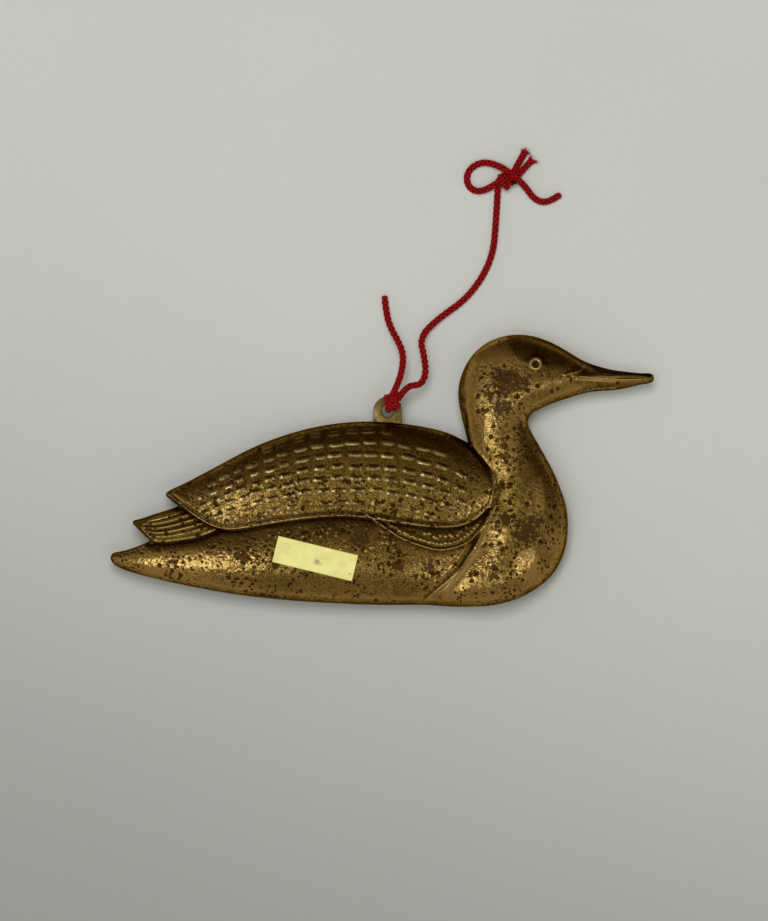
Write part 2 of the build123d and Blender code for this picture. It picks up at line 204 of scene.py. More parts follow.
# Small pits: tries at random places, least radius, what is added to it at most, and the depth of all pits
PIT_TRIES = 1300
PIT_RADIUS = 0.15
PIT_SPREAD = 0.36
PIT_DEPTH = 0.035

# Wide dents and finer ripples in the sheet
DENT_HEIGHT = 0.05
RIPPLE_HEIGHT = 0.022

# Zones of dull film: x, y, reach along X and Y, strength
FILM_ZONES = [
    (-4.0, 0.5, 27.0, 9.5, 0.66), (-30.0, -4.0, 12.0, 5.0, 0.28), (-39.0, -10.0, 9.0, 4.5, 0.75),
    (-6.0, -17.0, 17.0, 8.5, 0.52), (8.0, -12.5, 11.0, 3.5, 0.5), (25.0, -12.0, 5.0, 5.5, 0.75),
    (32.0, 15.5, 7.0, 3.5, 0.5), (26.0, -5.5, 5.5, 6.0, 0.8), (23.0, -17.0, 2.0, 4.0, 0.7),
]

# Zones rubbed bright: x, y, reach along X and Y, strength
POLISH_ZONES = [
    (-35.0, -17.4, 13.5, 3.6, 0.8), (22.8, 8.0, 4.0, 7.0, 0.45), (17.0, -17.5, 5.0, 4.0, 0.8),
    (20.5, -14.0, 2.5, 3.0, 0.5), (27.5, -18.5, 3.5, 3.0, 0.9), (28.5, -5.0, 2.0, 4.0, 0.6),
    (-31.0, -6.6, 8.0, 3.8, 0.45), (9.0, -18.0, 4.0, 2.5, 0.5),
]

# Zones of painted highlight, the crown's one among them, and calm zones with few spots and dents: the same
# five numbers
PAINTED_HIGHLIGHT_ZONES = [
    (24.4, 7.0, 1.1, 6.0, 0.85), (29.3, -5.0, 0.9, 3.8, 0.9), (20.6, -12.4, 2.4, 3.2, 1.0),
    (27.0, -17.6, 2.4, 3.0, 1.0), (-38.5, -17.3, 7.0, 3.0, 1.0),
]
CROWN_ZONE = (21.0, 22.5, 6.0, 4.5, 0.8)
CALM_ZONES = [
    (-2.0, 7.5, 26.0, 7.5, 0.9), (36.0, 18.5, 14.0, 6.0, 0.8), (24.0, 24.0, 9.0, 4.5, 0.9),
    (14.0, 14.5, 3.5, 12.0, 0.8),
]

# Label: columns and rows of its points, middle, and turn in degrees
LABEL_GRID = (92, 31)
LABEL_MIDDLE = (-12.6, -16.3)
LABEL_TURN = -13.7

# Hanging tab: its hole, its round top, the depth of its root, and its sections as reach and height
TAB_HOLE = (0.9, 11.2)
TAB_R = 2.7
TAB_ROOT = 4.8
TAB_HOLE_R = 1.1
TAB_STEPS = 96
TAB_HOLE_SECTION = [
    (0.00, -0.20), (0.00, 0.20), (0.05, 0.33), (0.15, 0.40), (0.27, 0.37), (0.40, 0.30),
    (0.40, -0.30), (0.27, -0.37), (0.15, -0.40), (0.05, -0.33),
]
TAB_EDGE_SECTION = [(-0.14, 0.30), (-0.04, 0.27), (0.0, 0.20), (0.0, -0.20), (-0.04, -0.27), (-0.14, -0.30)]

# Cord routes
LONG_STRAND = [
    (2.8, 13.4, 6.5), (4.5, 16.0, 6.3), (7.1, 16.0, 5.6), (8.1, 18.2, 4.7), (7.8, 21.3, 3.4),
    (6.9, 25.0, 2.0), (10.1, 28.4, 0.9), (16.2, 32.6, 0.6), (20.6, 39.6, 0.6), (21.3, 47.5, 0.6),
    (21.6, 53.4, 0.6),
]
SHORT_STRAND = [
    (1.7, 14.0, 6.5), (3.1, 16.7, 6.0), (3.9, 20.6, 4.2), (3.5, 23.2, 2.8), (1.2, 27.3, 0.9),
    (0.6, 30.2, 0.6), (0.3, 32.8, 0.6),
]
BOW_LOOP = [
    (21.2, 53.9, 1.2), (18.6, 52.1, 0.7), (15.9, 53.2, 0.6), (15.7, 56.2, 0.6), (18.4, 58.1, 0.6),
    (21.6, 57.4, 1.0), (24.0, 55.8, 1.6), (26.6, 53.6, 1.1), (28.4, 50.9, 0.6), (31.0, 50.2, 0.6),
    (33.3, 51.9, 0.6),
]
UPPER_STUB = [(24.0, 54.9, 1.4), (25.1, 57.3, 0.9), (26.9, 60.2, 0.6)]
RIGHT_STUB = [(24.3, 54.2, 1.0), (25.9, 56.2, 0.8), (28.3, 58.6, 0.6)]

# Knots: places and turns; the tie's ring round the tab, as reach and drop; how far cut ends close or open
TIE_MIDDLE = (1.82, 12.86, 6.49)
TIE_TURN = 61.0
TIE_WRAP_TURN = 14.0
TIE_RING = [
    (0.6, 0.0), (1.55, 0.3), (1.55, 1.9), (1.55, 2.95), (0.0, 2.95), (-1.55, 2.95), (-1.55, 1.9),
    (-1.55, 0.3), (-0.6, 0.0),
]
BOW_MIDDLE = (22.9, 54.3, 1.44)
BOW_TURN = -32.0
CLOSED_END = -0.34
FRAYED_END = 0.35

# Braid: its radius as a share of the cord's thickness, and the spacing of its points; then as shares of
# its radius, a yarn's distance from the middle, its wave over and under, its own radius, and the core's
BRAID_SHARE = 0.54
BRAID_STEP = 0.13
YARN_REACH = 0.60
YARN_WAVE = 0.15
YARN_RADIUS = 0.30
CORE_RADIUS = 0.55


def cubic_through(knots, values):
    """A smooth function through the values at the knots, held level beyond the ends."""
    knots = np.asarray(knots, float)
    values = np.asarray(values, float)
    gaps = np.diff(knots)
    slopes = np.diff(values) / gaps
    system = np.eye(len(knots))
    target = np.zeros(len(knots))
    for index in range(1, len(knots) - 1):
        before, after = gaps[index - 1:index + 1]
        system[index, index - 1:index + 2] = before, 2 * (before + after), after
        target[index] = 6 * (slopes[index] - slopes[index - 1])
    bend = np.linalg.solve(system, target)

    def value(at):
        at = np.clip(at, knots[0], knots[-1])
        left = np.clip(np.searchsorted(knots, at) - 1, 0, len(knots) - 2)
        gap = gaps[left]
        before = (knots[left + 1] - at) / gap
        after = 1 - before
        straight = before * values[left] + after * values[left + 1]
        curved = (before**3 - before) * bend[left] + (after**3 - after) * bend[left + 1]
        return straight + curved * gap**2 / 6

    return value


def plan_lengths(line):
    """Distance along a plan line from its first point to each of its points."""
    return np.concatenate([[0], np.cumsum(np.hypot(*np.diff(line, axis=0).T))])


def curve_through(points, spacing):
    """Evenly spaced points on a smooth plan curve, and each one's chord length along the given points."""
    points = np.asarray(points, float)
    chord = plan_lengths(points)
    along_x, along_y = [cubic_through(chord, column) for column in points.T]
    fine = np.linspace(0, chord[-1], int(chord[-1] / spacing * 8) + 16)
    length = plan_lengths(np.column_stack([along_x(fine), along_y(fine)]))
    at = np.interp(np.linspace(0, length[-1], max(2, round(length[-1] / spacing) + 1)), length, fine)
    return np.column_stack([along_x(at), along_y(at)]), at


def left_normals(line):
    """Unit vectors to the left of each point of a plan line."""
    along = np.gradient(line, axis=0)
    along /= np.hypot(*along.T)[:, None]
    return np.column_stack([-along[:, 1], along[:, 0]])


def nearest_points(line, spots):
    """Index of the point of the line that is nearest to each spot, in plan or in space."""
    tree = kdtree.KDTree(len(line))
    for index, point in enumerate(line):
        tree.insert(Vector(point).to_3d(), index)
    tree.balance()
    return np.array([tree.find(Vector(spot).to_3d())[1] for spot in spots])


def beside(line, spots):
    """Index of the line's nearest point to each spot, and the spot's distance to the left of it."""
    near = nearest_points(line, spots)
    return near, np.sum((spots - line[near]) * left_normals(line)[near], axis=1)


def side_of(edge, spots):
    """Distance of each spot from a plan edge, positive on its left."""
    return beside(curve_through(edge, LINE_STEP)[0], spots)[1]


def distance_to(spots, place):
    """Distance of each spot from a place in plan."""
    return np.hypot(*(spots - place).T)


def rise(distance, width):
    """Smooth step from 0 to 1 over the width."""
    share = np.clip(distance / width + 0.5, 0, 1)
    return share * share * (3 - 2 * share)


def between(value, low, high, low_width, high_width):
    """1 between low and high, with a smooth step at each of them."""
    return rise(value - low, low_width) * rise(high - value, high_width)


def ridge(distance, width):
    """Smooth hump of height 1 at distance 0."""
    return np.exp(-((distance / width) ** 2))


def rounded(distance, radius):
    """Quarter-round edge: 0 at the outline and 1 beyond the radius."""
    return np.sqrt(1 - (1 - np.clip(distance / radius, 0, 1)) ** 2)


def raise_to(layer, places, values):
    """Raise a layer's numbers at the places to the values, where these are higher."""
    layer[places] = np.maximum(layer[places], values)


def cloudy(spots, scale, depth, fall=0.9, gap=2.0, octaves=3):
    """Layered noise at each spot."""
    places = [Vector((scale * x, scale * y, depth)) for x, y in spots]
    return np.array([noise.fractal(place, fall, gap, octaves) for place in places])


def arch(stations, along, across, flat_roof=0.0):
    """Height share of a roll: half-ellipse sections between its stations, or a roof where flat_roof is 1."""
    knots, right, left, share = stations
    reach = np.where(across < 0, cubic_through(knots, right)(along), cubic_through(knots, left)(along))
    ratio = np.clip(np.abs(across) / np.maximum(reach, 0.2), 0, 1)
    section = (1 - flat_roof) * np.sqrt(1 - ratio**2) + flat_roof * (1 - ratio**1.25)
    return cubic_through(knots, share)(along) * section


def straight_roll(rows, spots, flat_roof=0.0):
    """A roll whose crest runs along X."""
    x, y, right, left, share = np.asarray(rows).T
    across = spots[:, 1] - cubic_through(x, y)(spots[:, 0])
    return arch((x, right, left, share), spots[:, 0], across, flat_roof)


def bent_roll(rows, spots):
    """A roll along a curved crest, which fades past the crest's last point."""
    x, y, right, left, share = np.asarray(rows).T
    crest = np.column_stack([x, y])
    line, at = curve_through(crest, LINE_STEP)
    near, across = beside(line, spots)
    past = (spots - line[-1]) @ (line[-1] - line[-2]) / np.hypot(*(line[-1] - line[-2]))
    return arch((plan_lengths(crest), right, left, share), at[near], across) * rise(2.5 - past, 5.0)


def outline_points(spacing):
    """Closed outline as evenly spaced points, with the corners kept."""
    return np.concatenate([curve_through(run, spacing)[0][:-1] for run in OUTLINE])


def dash_lie(x):
    """Top edge of the wing, spread of the rows and pitch of the dashes at x."""
    rows = np.array(DASH_LIE[::-1]).T
    return [float(np.interp(x, rows[0], column)) for column in rows[1:]]


def feather_dashes(spots):
    """Feather dashes in rows along the wing: height share, painted shade in a slit behind each, painted
    highlights.
    """
    chance = np.random.default_rng(17)
    height, slit, painted_highlight = np.zeros((3, len(spots)))
    column = FIRST_COLUMN_X
    while column > LAST_COLUMN_X:
        pitch = dash_lie(column)[2]
        for drop, front_x, back_x in DASH_ROWS:
            x = column + DASH_LEAN * drop
            if not back_x <= x <= front_x:
                continue
            top, spread, _ = dash_lie(x)
            ahead_top, ahead_spread, _ = dash_lie(x + 0.5)
            y = top - drop * spread
            turn = math.atan2(ahead_top - drop * ahead_spread - y, 0.5)
            middle = (x + chance.uniform(-0.35, 0.35), y + chance.uniform(-0.16, 0.16))
            near = np.flatnonzero(distance_to(spots, middle) < pitch)
            dx, dy = (spots[near] - middle).T
            along = (dx * math.cos(turn) + dy * math.sin(turn)) / (chance.uniform(0.28, 0.40) * pitch)
            across = dy * math.cos(turn) - dx * math.sin(turn)
            bar = np.exp(-(along**4) - (across / 0.40) ** 4)
            from_edge = (along**4 + (across / 0.38) ** 4) ** 0.25 - 0.85
            high_row = rise(5.5 - drop, 4.0)
            lit = 0.25 + 0.75 * rise(drop - 2.4, 1.0)
            raise_to(height, near, chance.uniform(0.6, 1.0) * bar)
            # Painted highlight over the whole dash on the upper rows
            raise_to(painted_highlight, near, chance.uniform(0.05, 0.5) * lit * high_row * bar)
            # Painted shade in a slit along each dash's upper side
            dark = chance.uniform(0.7, 1.3) * (1 - 0.5 * high_row) * np.exp(-((along / 0.95) ** 4))
            raise_to(slit, near, np.minimum(dark * ridge(across - 0.22, 0.32), 1))
            # Painted highlights along each dash's lower edge and at its two ends
            line = chance.uniform(0.05, 0.55 + 0.4 * high_row) * ridge(from_edge, 0.26)
            raise_to(painted_highlight, near, lit * line * rise(-0.05 - across, 0.3))
            for end in (-0.8, 0.75):
                bright = chance.uniform(0.1, 1.0) * ridge(along - end, 0.2) * ridge(across + 0.08, 0.18)
                raise_to(painted_highlight, near, lit * bright)
        column -= pitch
    return height, slit, painted_highlight


def dots(spots, places, radius):
    """Small round pimples at the places."""
    height = np.zeros(len(spots))
    for place in places:
        near = np.all(np.abs(spots - place) < 3 * radius, axis=1)
        raise_to(height, near, ridge(distance_to(spots[near], place), radius))
    return height


def offset_places(edge, inwards, spacing, chance, jitter):
    """Places along a plan edge, set off to its left."""
    line, _ = curve_through(edge, spacing)
    places = line + inwards * left_normals(line)
    return places + chance.uniform(-jitter, jitter, places.shape)


def relief(spots, to_rim, detail):
    """Height above the seam of one pressed half at the spots, in millimetres."""
    x, y = spots.T
    chance = np.random.default_rng(41)
    wing_side, neck_side, tail_side, flank_side, mouth, wing_line, cheek = [
        side_of(edge, spots)
        for edge in (WING_EDGE, NECK_EDGE, TAIL_EDGE, FLANK_EDGE, MOUTH_LINE, WING_LINE, CHEEK_LINE)
    ]
    under_neck = rise(y + 6.5, 1.5) * rise(x - 18.0, 2.0)
    wing_side += 2.0 * under_neck

    def lay(base, form, side, step=0.4, crease=CREASE_DEPTH):
        """Lay a form over the base on the left of its edge, with a crease along the edge."""
        base = base - crease * np.exp(-np.abs(side) / 0.6) * rise(-side, 0.3)
        return base + (np.maximum(form, base) - base) * rise(side, step)

    height = SEAM * straight_roll(HULL, spots) * rise(24.0 - x, 8.0)
    pimples = chance.uniform((-22, -15), (4, -10), (46, 2))
    height += detail * 0.07 * dots(spots, pimples, 0.22) * rise(-wing_side - 1.0, 1.0)

    tail_top, tail_low = [cubic_through(*zip(*edge))(x) for edge in (TAIL_TOP, TAIL_LOW)]
    fan = (y - tail_low) / np.maximum(tail_top - tail_low, 0.5)
    ribs = np.cos(2 * math.pi * TAIL_RIBS * fan) * rise(fan - 0.22, 0.1) * rise(x + 45.0, 2.0)
    tail = SEAM * straight_roll(TAIL, spots) + 0.13 * detail * ribs
    tail += 0.10 * detail * ridge(tail_side - 0.3, 0.25)
    height = lay(height, tail, tail_side)

    flank = height + 0.30 * rise(flank_side, 0.5)
    flank += 0.16 * detail * ridge(flank_side - 0.12, 0.2) - 0.10 * detail * ridge(flank_side - 0.65, 0.25)
    flank_dots = offset_places(FLANK_EDGE, 1.25, 0.9, chance, 0.12)
    more_dots = offset_places(FLANK_EDGE[2:], 2.6, 1.0, chance, 0.35)
    flank += 0.13 * detail * dots(spots, np.concatenate([flank_dots, more_dots]), 0.3)
    height = height + (flank - height) * rise(flank_side + 0.4, 0.4)

    wing = SEAM * straight_roll(WING, spots)
    on_wing = rise(wing_side - 1.2, 0.5) * rise(-neck_side - 1.0, 1.0)
    wing += DASH_HEIGHT * detail * feather_dashes(spots)[0] * on_wing
    border_dots = offset_places(WING_EDGE[1:-1], 1.3, 1.25, chance, 0.25)
    wing += 0.12 * detail * dots(spots, border_dots, 0.23)
    wing += 0.12 * detail * ridge(wing_side - 0.14, 0.16) - 0.15 * detail * ridge(wing_side - 0.68, 0.28)
    wing += 0.16 * detail * ridge(wing_line, 0.22) * between(y, -8.0, -3.0, 1.0, 1.0)
    height = lay(height, wing, wing_side, crease=CREASE_DEPTH * rise(-neck_side - 1.5, 2.0))

    neck = SEAM * bent_roll(NECK, spots)
    neck += 0.10 * detail * ridge(neck_side - 0.2, 0.22)
    soft = between(y, -12.5, 0.5, 3.0, 3.0)
    height += 0.10 * detail * ridge(neck_side + 1.2, 0.22) * between(y, -20.5, -13.5, 3.0, 1.5)
    height = lay(height, neck, neck_side, 0.4 + 1.4 * soft, CREASE_DEPTH - 0.26 * soft)
    height += 0.07 * detail * ridge(neck_side, 0.2) * soft

    head = SEAM * straight_roll(HEAD, spots, rise(x - 38.0, 7.0))
    for offset, back_x, front_x, fade in ((0.28, 36.5, 45.0, 6.0), (-0.28, 36.0, 42.5, 3.0)):
        head += 0.13 * detail * ridge(mouth - offset, 0.17) * between(x, back_x, front_x, 1.5, fade)
    head += 0.12 * detail * ridge(cheek, 0.18) * between(x, 34.2, 37.9, 0.8, 0.8)
    head += 0.18 * detail * dots(spots, BEAK_LUMPS, 0.32)
    head += 0.28 * detail * ridge(distance_to(spots, EYE) - EYE_RADIUS, 0.28)
    head += 0.10 * detail * dots(spots, EYE_DOTS, 0.25) + 0.08 * detail * dots(spots, [EYE_CORNER], 0.25)
    soft = 0.8 * rise(y - 8.0, 6.0) * rise(30.0 - x, 6.0)
    height = 0.5 * (height + head + np.sqrt((height - head) ** 2 + soft**2))
    return np.maximum(height * rounded(to_rim, 0.4), LIP_HEIGHT * rounded(to_rim, 0.25))


def rim_distance(outline, spots):
    """Distance of each spot from the outline."""
    return distance_to(spots, outline[nearest_points(outline, spots)])


def within(outline, spots):
    """True for each spot inside the closed outline, by counting crossings."""
    x, y = spots.T
    inside = np.zeros(len(spots), bool)
    for (x0, y0), (x1, y1) in zip(outline, np.roll(outline, -1, axis=0)):
        if y0 != y1:
            inside ^= ((y0 > y) != (y1 > y)) & (x < (x1 - x0) * (y - y0) / (y1 - y0) + x0)
    return inside


def fill_outline(spots, rim_count):
    """Triangles over the spots, of which the first ones are the outline: the points and the faces."""
    edges = [(index, (index + 1) % rim_count) for index in range(rim_count)]
    made = delaunay_2d_cdt([Vector(spot) for spot in spots], edges, [], 1, 1e-5)
    return np.array([tuple(spot) for spot in made[0]]), np.array(made[2])


def pressing_plan(grain):
    """Plan mesh of the pressing, with rows of points close behind its rim."""
    outline = outline_points(grain)
    inwards = left_normals(outline)
    lowest, highest = outline.min(axis=0), outline.max(axis=0)
    rows = np.arange(lowest[1], highest[1], grain * math.sqrt(3) / 2)
    columns = np.arange(lowest[0], highest[0], grain)
    grid = np.concatenate(
        [np.column_stack([columns + 0.5 * grain * (index % 2), np.full(len(columns), y)])
         for index, y in enumerate(rows)]
    )
    grid = grid[within(outline, grid)]
    spots = [outline]
    for depth in RIM_ROWS:
        row = outline + depth * inwards
        spots.append(row[(rim_distance(outline, row) > 0.9 * depth) & within(outline, row)])
    spots.append(grid[rim_distance(outline, grid) > RIM_BAND])
    spots, faces = fill_outline(np.concatenate(spots), len(outline))
    to_rim = rim_distance(outline, spots)
    to_rim[:len(outline)] = 0
    return SimpleNamespace(spots=spots, faces=faces, to_rim=to_rim, rim_count=len(outline))


def spread_evenly(values, faces, rounds):
    """Values smoothed over the mesh, each with its neighbours, that many times."""
    pairs = np.concatenate([faces[:, [0, 1]], faces[:, [1, 2]], faces[:, [2, 0]]])
    ends = np.concatenate([pairs, pairs[:, ::-1]])
    count = np.maximum(np.bincount(ends[:, 0], minlength=len(values)), 1)
    for _ in range(rounds):
        values = np.bincount(ends[:, 0], weights=values[ends[:, 1]], minlength=len(values)) / count
    return values


def blotch_share(spots, seed):
    """Brown tarnish at each spot from 0 to 1: the listed blotches with ragged edges."""
    share = np.zeros(len(spots))
    for *place, radius in BLOTCHES:
        distance = distance_to(spots, place) / radius
        near = np.flatnonzero(distance < 2.2)
        ragged = cloudy(spots[near], 1.5, 1.5 * seed, 0.7, 2.1, 4)
        raise_to(share, near, np.clip(6.0 * (0.9 - distance[near] + ragged), 0, 1))
    return share


def zone_share(zones, spots, dents=0.0):
    """Strength at each spot of soft-edged oval zones, whose edges follow the dents."""
    share = np.zeros(len(spots))
    for x, y, reach_x, reach_y, strength in zones:
        distance = np.hypot((spots[:, 0] - x) / reach_x, (spots[:, 1] - y) / reach_y)
        share = np.maximum(share, strength * rise(1.0 - distance + 0.25 * dents, 0.5))
    return share


def mesh_piece(name, points, faces, material, body):
    """A smooth mesh in metres from points in millimetres, which rides on a body."""
    mesh = bpy.data.meshes.new(name)
    mesh.from_pydata([tuple(point) for point in np.asarray(points) * MM], [], [tuple(face) for face in faces])
    mesh.validate()
    mesh.polygons.foreach_set("use_smooth", [True] * len(mesh.polygons))
    piece = bpy.data.objects.new(name, mesh)
    bpy.context.collection.objects.link(piece)
    piece.data.materials.append(material)
    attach(piece, body)
    return piece


def paint(piece, name, values):
    """A number for each point of the piece, for its material."""
    layer = piece.data.attributes.new(name, "FLOAT", "POINT")
    layer.data.foreach_set("value", np.asarray(values, np.float32))


class Shading:
    """A shader's node tree, with a short call for each kind of node used here."""

    def __init__(self, tree):
        self.tree = tree

    def node(self, kind, inputs=None, **settings):
        """A new node with its settings, and its inputs fed."""
        made = self.tree.nodes.new(kind)
        for name, value in settings.items():
            setattr(made, name, value)
        for name, value in (inputs or {}).items():
            self.feed(made.inputs[name], value)
        return made

    def feed(self, target, value):
        """Link a socket to the target, or set the target to a fixed number or colour."""
        if isinstance(value, bpy.types.NodeSocket):
            self.tree.links.new(value, target)
        elif target.type == "RGBA":
            target.default_value = (*value, 1.0)
        else:
            target.default_value = value

    def shade(self, **inputs):
        """Feed the main shader's sockets, named with underscores for spaces."""
        for name, value in inputs.items():
            self.feed(self.tree.nodes["Principled BSDF"].inputs[name.replace("_", " ")], value)

    def place(self, kind="Object"):
        """Where a point is, in the piece's own frame if no other is named."""
        return self.node("ShaderNodeTexCoord").outputs[kind]

    def painted(self, name):
        """The numbers that paint() stored on the piece."""
        return self.node("ShaderNodeAttribute", attribute_name=name).outputs["Fac"]

    def clouds(self, place, scale, detail, roughness=0.5, output="Fac"):
        """Soft noise of that scale."""
        inputs = {"Vector": place, "Scale": scale, "Detail": detail, "Roughness": roughness}
        return self.node("ShaderNodeTexNoise", inputs).outputs[output]

    def cells(self, place, scale, reach, low, high):
        """Round spots in scattered cells, as large as their reach, which is a socket or a number."""
        made = self.node("ShaderNodeTexVoronoi", {"Vector": place, "Scale": scale})
        return self.ramp(self.less(reach, made.outputs["Distance"]), low, high)

    def ramp(self, source, low, high):
        """Map a value from low..high to 0..1, smoothly."""
        inputs = {"Value": source, "From Min": low, "From Max": high}
        return self.node("ShaderNodeMapRange", inputs, interpolation_type="SMOOTHSTEP").outputs["Result"]

    def mix(self, share, first, second):
        """Mix of two colours, each a socket or a fixed colour."""
        inputs = {"Factor": share, MIX_FIRST: first, MIX_SECOND: second}
        return self.node("ShaderNodeMix", inputs, data_type="RGBA").outputs[MIX_RESULT]

    def bump(self, height, strength, distance):
        """A bent normal from fine heights."""
        inputs = {"Height": height, "Strength": strength, "Distance": distance}
        return self.node("ShaderNodeBump", inputs).outputs["Normal"]

    def arithmetic(self, operation, first, second):
        """Arithmetic on two values, each a socket or a number."""
        return self.node("ShaderNodeMath", {0: first, 1: second}, operation=operation).outputs["Value"]

    times = partialmethod(arithmetic, "MULTIPLY")
    plus = partialmethod(arithmetic, "ADD")
    less = partialmethod(arithmetic, "SUBTRACT")
    most = partialmethod(arithmetic, "MAXIMUM")


def new_material(name):
    """An empty node material, its shading and the place of its points."""
    material = bpy.data.materials.new(name)
    material.use_nodes = True
    net = Shading(material.node_tree)
    return material, net, net.place()


def aged_brass(settings):
    """Satin pressed brass: olive tarnish, brown oxide spots, fine pits, painted shade, lighter crests,
    painted highlights.
    """
    material, net, place = new_material("aged_brass")
    wobble = net.clouds(place, 900.0, 3.0, output="Color")
    shift = net.node("ShaderNodeVectorMath", {"Vector": wobble, "Scale": 0.0009}, operation="SCALE")
    moved = net.node("ShaderNodeVectorMath", {0: place, 1: shift.outputs["Vector"]}, operation="ADD")
    ragged = moved.outputs["Vector"]

    film = net.ramp(net.clouds(place, 160.0, 7.0, 0.66), 0.41, 0.62)
    mottle = net.ramp(net.clouds(place, 1500.0, 5.0, 0.7), 0.42, 0.62)
    specks = net.ramp(net.clouds(place, 3600.0, 2.0, 0.6), 0.49, 0.60)
    large_reach = net.times(net.ramp(net.clouds(place, 150.0, 3.0), 0.46, 0.68), 0.34)
    small_reach = net.times(net.ramp(net.clouds(place, 190.0, 3.0), 0.37, 0.60), 0.36)
    spots = net.most(net.cells(ragged, 500.0, large_reach, -0.04, 0.10),
                     net.cells(ragged, 1150.0, small_reach, -0.05, 0.10))
    lively = net.less(1.0, net.painted("calm"))
    spots = net.most(net.times(spots, lively), net.painted("pit"))
    blotch = net.painted("blotch")
    polish = net.painted("polish")

    dull = net.most(net.times(film, 0.75), net.painted("film"))
    dull = net.times(dull, net.less(1.0, polish))
    colour = net.mix(dull, settings.bright, settings.film)
    layers = (
        (net.times(mottle, 0.6), settings.film),
        (net.times(specks, 0.85), settings.crease),
        # Painted shade in the crease colour; lighter crests and painted highlights in clean brass and their
        # own colour
        (net.times(net.painted("crease"), 0.95), settings.crease),
        (net.times(net.painted("crest"), 0.75), settings.bright),
        (net.painted("painted_highlight"), settings.painted_highlight),
        (net.painted("copper"), settings.copper),
        (net.times(blotch, net.less(1.0, net.times(mottle, 0.35))), settings.blotch),
        (net.times(spots, 0.95), settings.spot),
    )
    for share, layer in layers:
        colour = net.mix(share, colour, layer)

    stain = net.most(spots, blotch)
    rough = net.plus(settings.roughness, net.times(dull, 0.15))
    rough = net.plus(rough, net.times(stain, 0.25))
    rough = net.plus(rough, net.times(mottle, 0.08))
    depth = net.plus(0.3, net.plus(net.times(lively, 0.5), net.times(polish, 1.4)))
    level = net.less(net.times(net.clouds(place, 1500.0, 1.0, 0.4), depth), stain)
    net.shade(Base_Color=colour, Metallic=net.less(1.0, net.times(stain, 0.15)), Specular_Tint=settings.edge,
              Roughness=rough, Normal=net.bump(level, 0.8, 0.00008))
    return material


def tab_brass(settings):
    """Cleaner flat brass strip with a thin film, specks and a fine grain."""
    material, net, place = new_material("strip_brass")
    film = net.ramp(net.clouds(place, 600.0, 6.0, 0.65), 0.42, 0.70)
    speck = net.cells(place, 1500.0, 0.16, 0.0, 0.06)
    colour = net.mix(net.times(film, 0.6), settings.strip, settings.film)
    net.shade(Base_Color=net.mix(net.times(speck, 0.7), colour, settings.spot), Metallic=1.0,
              Roughness=net.plus(0.34, net.times(film, 0.2)),
              Normal=net.bump(net.clouds(place, 2500.0, 3.0), 0.25, 0.00003))
    return material


def foil_paper(settings):
    """Cream foil paper with a soft sheen, handling marks and fine specks."""
    material, net, place = new_material("foil_paper")
    shade = net.ramp(net.clouds(place, 420.0, 6.0, 0.6), 0.40, 0.72)
    reach = net.times(net.ramp(net.clouds(place, 500.0, 2.0), 0.55, 0.72), 0.22)
    speck = net.cells(place, 1300.0, reach, 0.0, 0.06)
    colour = net.mix(net.times(shade, 0.55), settings.paper, settings.wear_and_painted_highlight)
    colour = net.mix(net.times(net.painted("smudge"), 0.75), colour, settings.smudge)
    net.shade(Base_Color=net.mix(net.times(speck, 0.8), colour, settings.smudge), Metallic=0.25,
              Roughness=net.plus(0.42, net.times(shade, 0.2)),
              Normal=net.bump(net.clouds(place, 1800.0, 4.0), 0.3, 0.00003))
    return material


def red_yarn(settings):
    """Dyed yarn, a little darker in places and with painted shade between its yarns, with a soft silky sheen.
    """
    material, net, place = new_material("red_yarn")
    shade = net.ramp(net.clouds(place, 2600.0, 4.0, 0.6), 0.35, 0.70)
    # Points near the cord's middle get painted shade between the yarns
    crown = net.ramp(net.painted("depth"), 0.62, 1.0)
    gap_shade_and_dark_dye = net.most(net.less(1.0, crown), net.times(shade, 0.6))
    net.shade(Base_Color=net.mix(gap_shade_and_dark_dye, settings.red, settings.deep_red), Roughness=0.62,
              Specular_IOR_Level=0.15, Sheen_Weight=0.03, Sheen_Roughness=0.4, Sheen_Tint=(0.9, 0.25, 0.22),
              Normal=net.bump(net.clouds(place, 9000.0, 3.0), 0.5, 0.00003))
    return material


def smooth_line(points):
    """Points in millimetres read from a smooth spline whose control points are the route."""
    curve = bpy.data.curves.new("route", "CURVE")
    curve.dimensions = "3D"
    curve.resolution_u = 16
    spline = curve.splines.new("NURBS")
    spline.points.add(len(points) - 1)
    for spot, (x, y, z) in zip(spline.points, points):
        spot.co = (x * MM, y * MM, z * MM, 1.0)
    spline.order_u = 3
    spline.use_endpoint_u = True
    holder = bpy.data.objects.new("route", curve)
    mesh = bpy.data.meshes.new_from_object(holder)
    line = np.array([tuple(vertex.co) for vertex in mesh.vertices]) / MM
    bpy.data.objects.remove(holder)
    bpy.data.curves.remove(curve)
    bpy.data.meshes.remove(mesh)
    return line


def evenly(line, step):
    """The line's points again at an even spacing, with their distances along it."""
    length = np.concatenate([[0], np.cumsum(np.linalg.norm(np.diff(line, axis=0), axis=1))])
    along = np.linspace(0, length[-1], max(3, round(length[-1] / step) + 1))
    return np.column_stack([np.interp(along, length, axis) for axis in line.T]), along


def unit(vector):
    """The vector at length 1."""
    return vector / np.linalg.norm(vector)


def cross_directions(line):
    """Two unit vectors across the line at each point, carried along without twist."""
    along = np.gradient(line, axis=0)
    along /= np.linalg.norm(along, axis=1)[:, None]
    side = np.cross(along[0], (0.0, 0.0, 1.0))
    if np.linalg.norm(side) < 0.1:
        side = np.cross(along[0], (1.0, 0.0, 0.0))
    sides = []
    for direction in along:
        side = unit(side - direction * np.dot(side, direction))
        sides.append(side)
    return np.array(sides), np.cross(along, sides)


